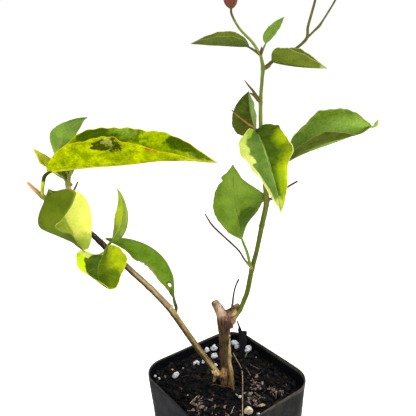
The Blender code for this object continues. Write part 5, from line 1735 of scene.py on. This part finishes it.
# %% The lower leaf and the dead twig
LOWER_LEAF = Blade((6.5, 0, 154.7), 35, (11.5, 14), (172, 100), (76, 83), (-24, 26), (-20, 30),
                   outline=(0.72, 1.15))
lower_paint = leaf_finish(
    "broad leaf", ((0.105, 0.185, 0.013), (0.165, 0.26, 0.022)), ((0.08, 0.145, 0.008), (0.13, 0.21, 0.015)),
    spots=[(0.78, 0.1, 0.24, 0.8, 0.7, 0.9, (0.185, 0.285, 0.032)),
           # painted shadow: a dark patch on the right half near the foot
           (0.25, 0.42, 0.14, 0.46, 0.25, 0.9, (0.042, 0.082, 0.002)),
           (0.13, -0.3, 0.12, 0.6, 0.6, 0.6, (0.08, 0.145, 0.01)),
           (0.5, -0.9, 0.3, 0.25, 0.8, 0.5, (0.08, 0.14, 0.005)),
           (0.6, 0.1, 0.012, 0.04, 0.5, 0.8, (0.12, 0.08, 0.02)),
           (0.45, -0.2, 0.12, 0.3, 0.5, 0.4, (0.18, 0.29, 0.034))],
    veins=0.16)
point = on_limb(SHOOT_LINE, 138.5)
long_twig_paint = twig_finish("long dead twig", (0.15, 0.14, 0.03), (0.26, 0.23, 0.07),
                              (0.07, 0.045, 0.03), 0.1, roughness=0.8)
long_twig = [(*point, 0.6), (10.6, -0.9, 141, 0.6), (7.6, -1.6, 145.4, 0.5), (4.7, -3, 150.6, 0.48),
             (-2.7, -5, 158.9, 0.45), (-7.2, -6, 164.1, 0.45), (-10.3, -6, 169.3, 0.32)]
grow("lower_leaf", LOWER_LEAF, [point, (10.4, -0.8, 142.4), (8.9, -0.4, 148.3)], 0.7, lower_paint, pale_stalk,
     "green_leaf", "foliage_right_lower", extras=[(long_twig, 1)], finishes=[long_twig_paint], columns=18,
     bites=[(0.79, -1, 0.16, 0.016), (0.84, 1, 0.28, 0.1)],
     nudges=[(0.84, -1, 0.03, 0.4, (-0.9, 0, 0)), (0.52, 1, 0.08, 0.4, (0.8, 0, 0.4))], seed=8)

# %% [markdown]
# ## The drawn-out leaf in front
# The leaf nearest to the eye hangs to the front. Its margin on one side is
# painted lime, the other half is mottled with yellow, and a cream line
# follows the edge.

# %% The front leaf and its spine
FRONT_LEAF = RailBlade(
    (11, -1, 205.5), (19, -35.5, 181.5),
    midrib=[(12, -8, 205), (13, -15, 203.5), (14, -21, 201.5), (15, -26, 198), (16, -29.5, 195),
            (17, -32, 191.5), (18, -34.5, 187)],
    left=[(13, -3, 207.5), (14.5, -4.5, 209), (16.5, -6, 209.5), (18.5, -8, 209.5), (20, -10, 210),
          (21, -12.5, 208.5), (22.5, -16, 206.5), (23.5, -18.5, 205.5), (24.5, -21, 204),
          (24.5, -22.5, 202.5), (23.5, -24, 200.5), (22.5, -25, 198.5), (22, -28, 194.5), (21.5, -31.5, 189),
          (20.2, -34.5, 184)],
    right=[(9.5, -3, 206.5), (8, -5, 207), (6.5, -7.5, 206), (4.5, -10.5, 204.5), (3.5, -13.5, 203),
           (3.5, -16.5, 201.5), (4, -19.5, 200), (5, -22, 199.2), (6.6, -25, 198.4), (8.5, -29, 196),
           (10, -30.5, 195), (11, -32, 194), (13.5, -34.5, 190.5), (16, -36, 186.5), (18.2, -36, 183.5)])
front_paint = leaf_finish(
    "variegated leaf", ((0.026, 0.054, 0.002), (0.056, 0.102, 0.002)),
    ((0.066, 0.124, 0.014), (0.1, 0.17, 0.026)),
    spots=[
        (0.12, 0.3, 0.14, 0.4, 0.7, 0.5, (0.046, 0.088, 0.009)),
        (0.34, -0.38, 0.1, 0.35, 0.5, 0.5, (0.028, 0.056, 0.002)),
        (0.37, -0.84, 0.085, 0.3, 0.9, 1, (0.23, 0.31, 0.001)),
        (0.36, -1, 0.05, 0.2, 0.8, 0.6, (0.3, 0.36, 0.001)),
        (0.44, -1, 0.035, 0.1, 0.6, 0.6, (0.28, 0.19, 0.008)),
        (0.52, -0.8, 0.045, 0.45, 0.7, 0.7, (0.066, 0.115, 0.001)),
        (0.68, -0.85, 0.14, 0.36, 0.7, 1, (0.35, 0.42, 0.001)),
        (0.74, -0.48, 0.14, 0.24, 0.8, 0.9, (0.19, 0.28, 0.001)),
        (0.14, 0.88, 0.12, 0.4, 0.15, 1, (0.215, 0.32, 0.02)),
        (0.28, 0.98, 0.1, 0.32, 0.15, 1, (0.36, 0.45, 0.07)),
        (0.39, 1.02, 0.1, 0.42, 0.12, 1, (0.43, 0.5, 0.09)),
        (0.5, 0.98, 0.08, 0.38, 0.12, 1, (0.46, 0.51, 0.105)),
        (0.64, 1, 0.1, 0.2, 0.12, 1, (0.46, 0.5, 0.13)),
        (0.82, 1.05, 0.11, 0.32, 0.12, 1, (0.41, 0.43, 0.11)),
        (0.98, 0.3, 0.11, 1.2, 0.2, 0.9, (0.4, 0.47, 0.07)),
        (0.9, -0.9, 0.06, 0.4, 0.6, 0.7, (0.38, 0.42, 0.01)),
        (0.5, 0.02, 0.46, 0.035, 0.4, 0.7, (0.24, 0.34, 0.06)),
    ],
    margin=(0.35, 0.8, (0.64, 0.64, 0.26)), veins=0.16)
point = on_limb(SHOOT_LINE, 204.8)
spine = [(*point, 0.5), (11.8, -0.6, 205.6, 0.5), (10.4, -0.2, 206.6, 0.45), (7.7, 0, 208.3, 0.38),
         (3.1, -2, 212.3, 0.3), (0.9, -3, 214.6, 0.22)]
spine_paint = twig_finish("spine", (0.17, 0.075, 0.025), (0.3, 0.15, 0.05), (0.05, 0.014, 0.008), 0.86)
grow("front_leaf", FRONT_LEAF, [point, (12.6, -1, 205.4)], 0.65, front_paint, pale_stalk, "variegated_leaf",
     "foliage_right_front", extras=[(spine, 1)], finishes=[spine_paint], rows=84, columns=18,
     quilt=0.12, ripple=0.25, waves=5, seed=9)

# %% [markdown]
# ## The rear leaf and the big leaf
# A leaf hides behind the shoot. One half, seen from below, is painted dark
# as painted shade, and a pale strip of its other half shows. The big leaf
# reaches out to the right, with a tan margin and a twisted drip tip. One half
# is mottled and painted lighter along the fold, as painted light against the
# shade there; the other half shows its underside, painted dark olive as
# painted shade.

# %% Rear leaf and big leaf
REAR_LEAF = Blade((12.3, 10, 202.6), 19.5, (10, 7.5), (105, 116), (28, 89), (39, 29), (-11, 57))
BIG_LEAF = RailBlade(
    (26.5, 6, 190), (68, 27, 201),
    midrib=[(30.5, 8, 191.5), (35, 10, 193), (41.5, 12.5, 194.5), (48.5, 15.5, 196), (55.5, 18.5, 197.5),
            (60.5, 21, 198.5), (65, 24.5, 199.5)],
    left=[(26.5, 5.5, 195), (27.5, 5.5, 200), (30, 5.5, 203.5), (33, 5.5, 206.5), (36, 6, 210),
          (38.5, 6.5, 212), (42, 7, 212.5), (47, 8.5, 213), (52, 11, 212), (57, 13.5, 210),
          (61.5, 17.5, 206.5), (65.5, 22, 203.5)],
    right=[(27.5, 3, 194), (28.5, 1, 196.5), (31, -0.5, 199), (33.5, -1.5, 201), (36, -2, 203),
           (38.5, -2, 204), (40.5, -1.5, 205), (43, -1, 205), (47.5, 1.5, 204), (52, 4.5, 203), (56, 9, 201),
           (61, 15, 200.5), (65, 21, 201)])
# painted shade: the left half, seen from below, is painted dark
rear_paint = leaf_finish(
    "shaded leaf", ((0.038, 0.058, 0.004), (0.06, 0.085, 0.008)), ((0.16, 0.23, 0.06), (0.22, 0.3, 0.085)),
    spots=[(0.15, -0.7, 0.12, 0.35, 0.5, 0.6, (0.09, 0.08, 0.008))])
# painted light: the upper half is painted lighter near the fold; painted shade: the near half is painted dark
# olive
big_paint = leaf_finish(
    "big leaf", ((0.1, 0.18, 0.012), (0.18, 0.265, 0.026)), ((0.048, 0.062, 0.005), (0.07, 0.092, 0.01)),
    spots=[(0.25, -0.4, 0.24, 0.4, 0.8, 0.9, (0.22, 0.4, 0.055)),
           (0.58, -0.26, 0.26, 0.36, 0.8, 1, (0.42, 0.66, 0.11)),
           (0.84, -0.2, 0.14, 0.6, 0.8, 1, (0.36, 0.56, 0.08)),
           (0.4, -0.75, 0.1, 0.16, 0.8, 0.4, (0.12, 0.2, 0.012))],
    veins=0.1, under=0.04, margin=(0.45, 0.6, (0.24, 0.23, 0.05)), speckle=0.5, patches=4, gloss=0)
point = on_limb(SHOOT_LINE, 203)
grow("rear_leaf", REAR_LEAF, [point, (12.6, 7, 202.6)], 0.55, rear_paint, olive_stalk, "olive_leaf",
     "foliage_right_rear", quilt=0.08, ripple=0.15, bites=[(0.5, 1, 0.28, 0.2)], seed=10)
point = on_limb(SHOOT_LINE, 184.4)
end = BIG_LEAF.midrib(np.array(0.97))
drip_paint = twig_finish("drip tip", (0.23, 0.33, 0.05), (0.33, 0.43, 0.08))
drip_tip = [(*end, 0.45), (*(end + (2.2, 0.2, 0.3)), 0.6), (*(end + (3, 0.2, 1.6)), 0.95),
            (*(end + (3.7, 0.2, 3.6)), 0.2)]
grow("big_leaf", BIG_LEAF, [point, (19.5, 4, 186.2), (23.4, 5.4, 188.6)], 0.65, big_paint, pale_stalk,
     "green_leaf", "foliage_right_big", extras=[(drip_tip, 1)], finishes=[drip_paint], rows=90, columns=20,
     quilt=0.14, ripple=0.1, seed=11)

# %% [markdown]
# ## Thorns on the shoot
# A bougainvillea thorn is a hardened twig that stands off a node, thick at
# its foot and drawn out to its end. It starts inside the shoot, so that no
# seam shows, and the upper one is forked.

# %% Thorns
point = on_limb(SHOOT_LINE, 172.5)
middle_thorn = [(*point, 0.8), (19.6, 2.4, 173.4, 0.65), (21.5, 1.8, 174.6, 0.52), (26, 1, 179.2, 0.5),
                (30.1, 0, 182.3, 0.42)]
brown_thorn = twig_finish("brown thorn", (0.04, 0.022, 0.014), (0.12, 0.075, 0.048),
                          (0.04, 0.028, 0.024), 0.8)
make_piece("thorn_at_the_middle", twig(Skin(), middle_thorn, seed=41), brown_thorn,
           ["thorn_middle"])
point = on_limb(SHOOT_LINE, 216.4)
upper_thorn = [(*point, 0.9), (12.3, 3.9, 218, 0.85), (11.5, 3.8, 219.2, 0.72), (10, 3.5, 221.4, 0.55),
               (8.2, 3.2, 223.5, 0.42), (6.4, 3, 225.8, 0.2)]
tine = [(12.2, 4, 217.4, 0.7), (11, 4.1, 218.8, 0.6), (9.9, 4.2, 219.8, 0.5), (8.9, 4.3, 220.3, 0.3)]
upper_skin = twig(twig(Skin(), upper_thorn, seed=42), tine, seed=43)
dark_thorn = twig_finish("dark thorn", (0.06, 0.05, 0.012), (0.13, 0.105, 0.026), (0.17, 0.08, 0.065), 0.8)
make_piece("thorn_at_the_top", upper_skin, dark_thorn, ["thorn_upper"])
print("thorns: 2, one of them forked")

# %% [markdown]
# ## The dead twig beside the stem
# A dead twig stands up from the cut stub. It is too thin for the melt, so it
# is a tube of its own.

# %% Dead twig
DEAD_TWIG = [(1.8, 2.4, 115.4, 0.8), (2.4, 2.7, 116.8, 0.7), (2.7, 2.6, 118.5, 0.6), (3.2, 2, 124.6, 0.45),
             (4, 2, 129, 0.4), (5.4, 2, 132.8, 0.42)]
make_piece("dead_twig", twig(Skin(), DEAD_TWIG, seed=44), dead_twig, ["trunk"])
print("dead twig: up to", DEAD_TWIG[-1][2], "mm")

# %% [markdown]
# ## A closed flower
# Three bracts stand folded round each other until they open, so a bud is an
# egg with three soft keels, drawn in to a point. Each bract is dusty red with
# fine veins that run up it, greener at its foot.

# %% Helper: buds
BRACTS = 3


def bud_skin(skin, foot, direction, length, width, keel=0.16, turn=20, rows=40, sides=48):
    """Add a closed bud to a skin; the kept vector gives the nearness of a keel, and the height."""
    height, angle = np.meshgrid(np.linspace(0.01, 0.99, rows), np.arange(sides) / sides * 2 * math.pi,
                                indexing="ij")
    belly = np.sin(math.pi * height ** 0.78) ** 0.72 * (1 - 0.3 * height)
    ridge = 1 + keel * np.cos(BRACTS * angle) * np.sin(math.pi * height)
    twist = angle + math.radians(turn) + 0.5 * height
    radius = width / 2 * belly * ridge
    ahead = unit(direction)
    side = unit(np.cross(ahead, (0.2, 1, 0.1)))
    over = np.cross(ahead, side)
    corners = (np.array(foot) + ahead * (height * length)[..., None]
               + side * (radius * np.cos(twist))[..., None] + over * (radius * np.sin(twist))[..., None])
    kept = np.stack([np.cos(angle * BRACTS), height, 0 * height], -1).reshape(-1, 3)
    return skin.add(corners.reshape(-1, 3), ring_faces(rows, sides), bud=kept)


def bud_finish(name, foot, body, keel, tip):
    paint = Paint(name, roughness=0.6, gloss=0.08)
    ridge, height, _ = paint.split(paint.kept("bud"))
    here = paint.here()
    vein = paint.noise(paint.stretch(here, (1, 1, 0.12)), 0.8, 3, 0.6)
    tone = paint.mix(paint.ramp(vein, 0.36, 0.64, 0, 0.5), body, keel)
    tone = paint.mix(paint.ramp(ridge, 0.55, 0.98, 0, 0.7), tone, keel)
    tone = paint.mix(paint.ramp(height, 0.02, 0.22, 0.85, 0), tone, foot)
    tone = paint.mix(paint.ramp(height, 0.78, 0.98, 0, 0.8), tone, tip)
    paint.colour(tone)
    paint.bump(vein, 0.1)
    return paint.material


# %% [markdown]
# ## The top of the shoot
# Two flower stalks rise from the last node at the right, and the shoot ends
# in a folded leaf, a small one, a maroon growing tip and a third stalk with
# the bud that is nearest to opening.

# %% Top right
TOP_RIGHT_LEAF = Blade((17.8, 6, 233.6), 23.5, (9, 9.3), (-38, -4), (-9, 0), (-2, -11), (38, 56),
                       outline=(0.5, 1.05))
top_right_paint = leaf_finish(
    "olive leaf", ((0.06, 0.095, 0.006), (0.095, 0.135, 0.01)), ((0.088, 0.125, 0.006), (0.135, 0.17, 0.01)),
    spots=[(0.95, 0, 0.07, 1.5, 0.4, 0.8, (0.43, 0.47, 0.13))],
    veins=0.18, margin=(0.35, 0.7, (0.33, 0.27, 0.1)))
point = on_limb(SHOOT_LINE, 230.6)
flower_stalk = [(*point, 0.95), (16.2, 5.2, 231.5, 0.9), (18, 6.4, 233.2, 0.7), (25.9, 9, 236.8, 0.6),
                (31.8, 8, 242, 0.65), (32.3, 8, 246.8, 0.58), (33.2, 8, 251, 0.55), (34.8, 8, 258.3, 0.5),
                (35.2, 8, 265, 0.45)]
second_stalk = [(30.8, 8.2, 241, 0.5), (34.6, 8, 245, 0.45), (36.8, 8, 247.2, 0.6), (38.4, 8, 249.6, 0.42),
                (42.2, 8, 256.2, 0.4), (44.8, 8, 261.5, 0.4)]
stalk_paint = twig_finish("flower stalk", (0.075, 0.075, 0.012), (0.135, 0.125, 0.024),
                          (0.075, 0.042, 0.018), 0.7)
grow("top_right_leaf", TOP_RIGHT_LEAF, [point, (16.8, 5.6, 232.2)], 0.75, top_right_paint, olive_stalk,
     "olive_leaf", "foliage_top_right", extras=[(flower_stalk, 1), (second_stalk, 1)], finishes=[stalk_paint],
     quilt=0.08, ripple=0.25, seed=12)
small_bud_paint = bud_finish("young bud", (0.2, 0.22, 0.06), (0.33, 0.27, 0.14), (0.42, 0.33, 0.19),
                             (0.3, 0.13, 0.08))
stalk_buds = bud_skin(Skin(), (35.1, 8, 264.2), (0.1, 0, 1), 5.3, 2.8)
bud_skin(stalk_buds, (44.6, 8, 261), (0.4, 0, 1), 5, 2.6, turn=60)
make_piece("stalk_buds", stalk_buds, small_bud_paint, ["foliage_top_right"])

# %% Top of the shoot
TOP_LEFT_LEAF = Blade((7.9, 4, 239.7), 24, (7.3, 7.3), (185, 191), (2, 5), (7, -8), (35, 44))
SMALL_LEAF = Blade((14.6, 4, 240.9), 13, (4.7, 5), (21, 24), (52, 50), fold=(15, 11))
top_left_paint = leaf_finish(
    "young olive leaf", ((0.056, 0.084, 0.005), (0.086, 0.12, 0.009)),
    ((0.062, 0.094, 0.004), (0.095, 0.132, 0.006)),
    margin=(0.3, 0.5, (0.3, 0.21, 0.12)))
small_paint = leaf_finish("small leaf", ((0.12, 0.205, 0.022), (0.165, 0.265, 0.036)), veins=0.25, under=0.15)
tip_point = SHOOT_LINE[-1, :3]
crown = [SHOOT_LINE[-4, :3], tip_point, (10.2, 4, 237.9, 0.5)]
bract_stalk = [(*tip_point, 0.65), (9.5, 4.6, 240.9, 0.6), (4, 4.8, 246.5, 0.52), (0.7, 5, 251.9, 0.5),
               (0.3, 5, 255, 0.5)]
bract_stalk_paint = twig_finish("bract stalk", (0.12, 0.165, 0.02), (0.22, 0.27, 0.05), (0.085, 0.075, 0.018),
                                0.65)
grow("top_left_leaf", TOP_LEFT_LEAF, crown, 0.5, top_left_paint, olive_stalk, "green_leaf", "foliage_top",
     extras=[(bract_stalk, 1)], finishes=[bract_stalk_paint], quilt=0.06, ripple=0.2, seed=13)
grow("small_leaf", SMALL_LEAF, [tip_point, (13.7, 4, 238.4, 0.45)], 0.4, small_paint, pale_stalk,
     "green_leaf", "foliage_top", rows=48, columns=10, quilt=0.04, ripple=0.1, seed=14)
bract_paint = bud_finish("folded bracts", (0.09, 0.075, 0.022), (0.11, 0.026, 0.018), (0.19, 0.06, 0.042),
                         (0.15, 0.036, 0.026))
make_piece("bract_bud", bud_skin(Skin(), (0.4, 5, 254.2), (-0.05, 0, 1), 11.2, 6.3), bract_paint,
           ["foliage_top"])
growing_tip = bud_skin(Skin(), (12.7, 3.8, 235.9), (0.1, -0.1, 1), 4, 1.25, keel=0.08, rows=20, sides=24)
tip_paint = bud_finish("growing tip", (0.07, 0.06, 0.02), (0.08, 0.024, 0.02), (0.12, 0.05, 0.035),
                       (0.06, 0.018, 0.016))
make_piece("growing_tip", growing_tip, tip_paint, ["foliage_top"])

# %% [markdown]
# ## Close the scene
# The last line counts the faces shown and the pieces they are in.

# %% Faces shown
print("faces shown:", sum(shown.values()), "in", len(shown), "pieces")
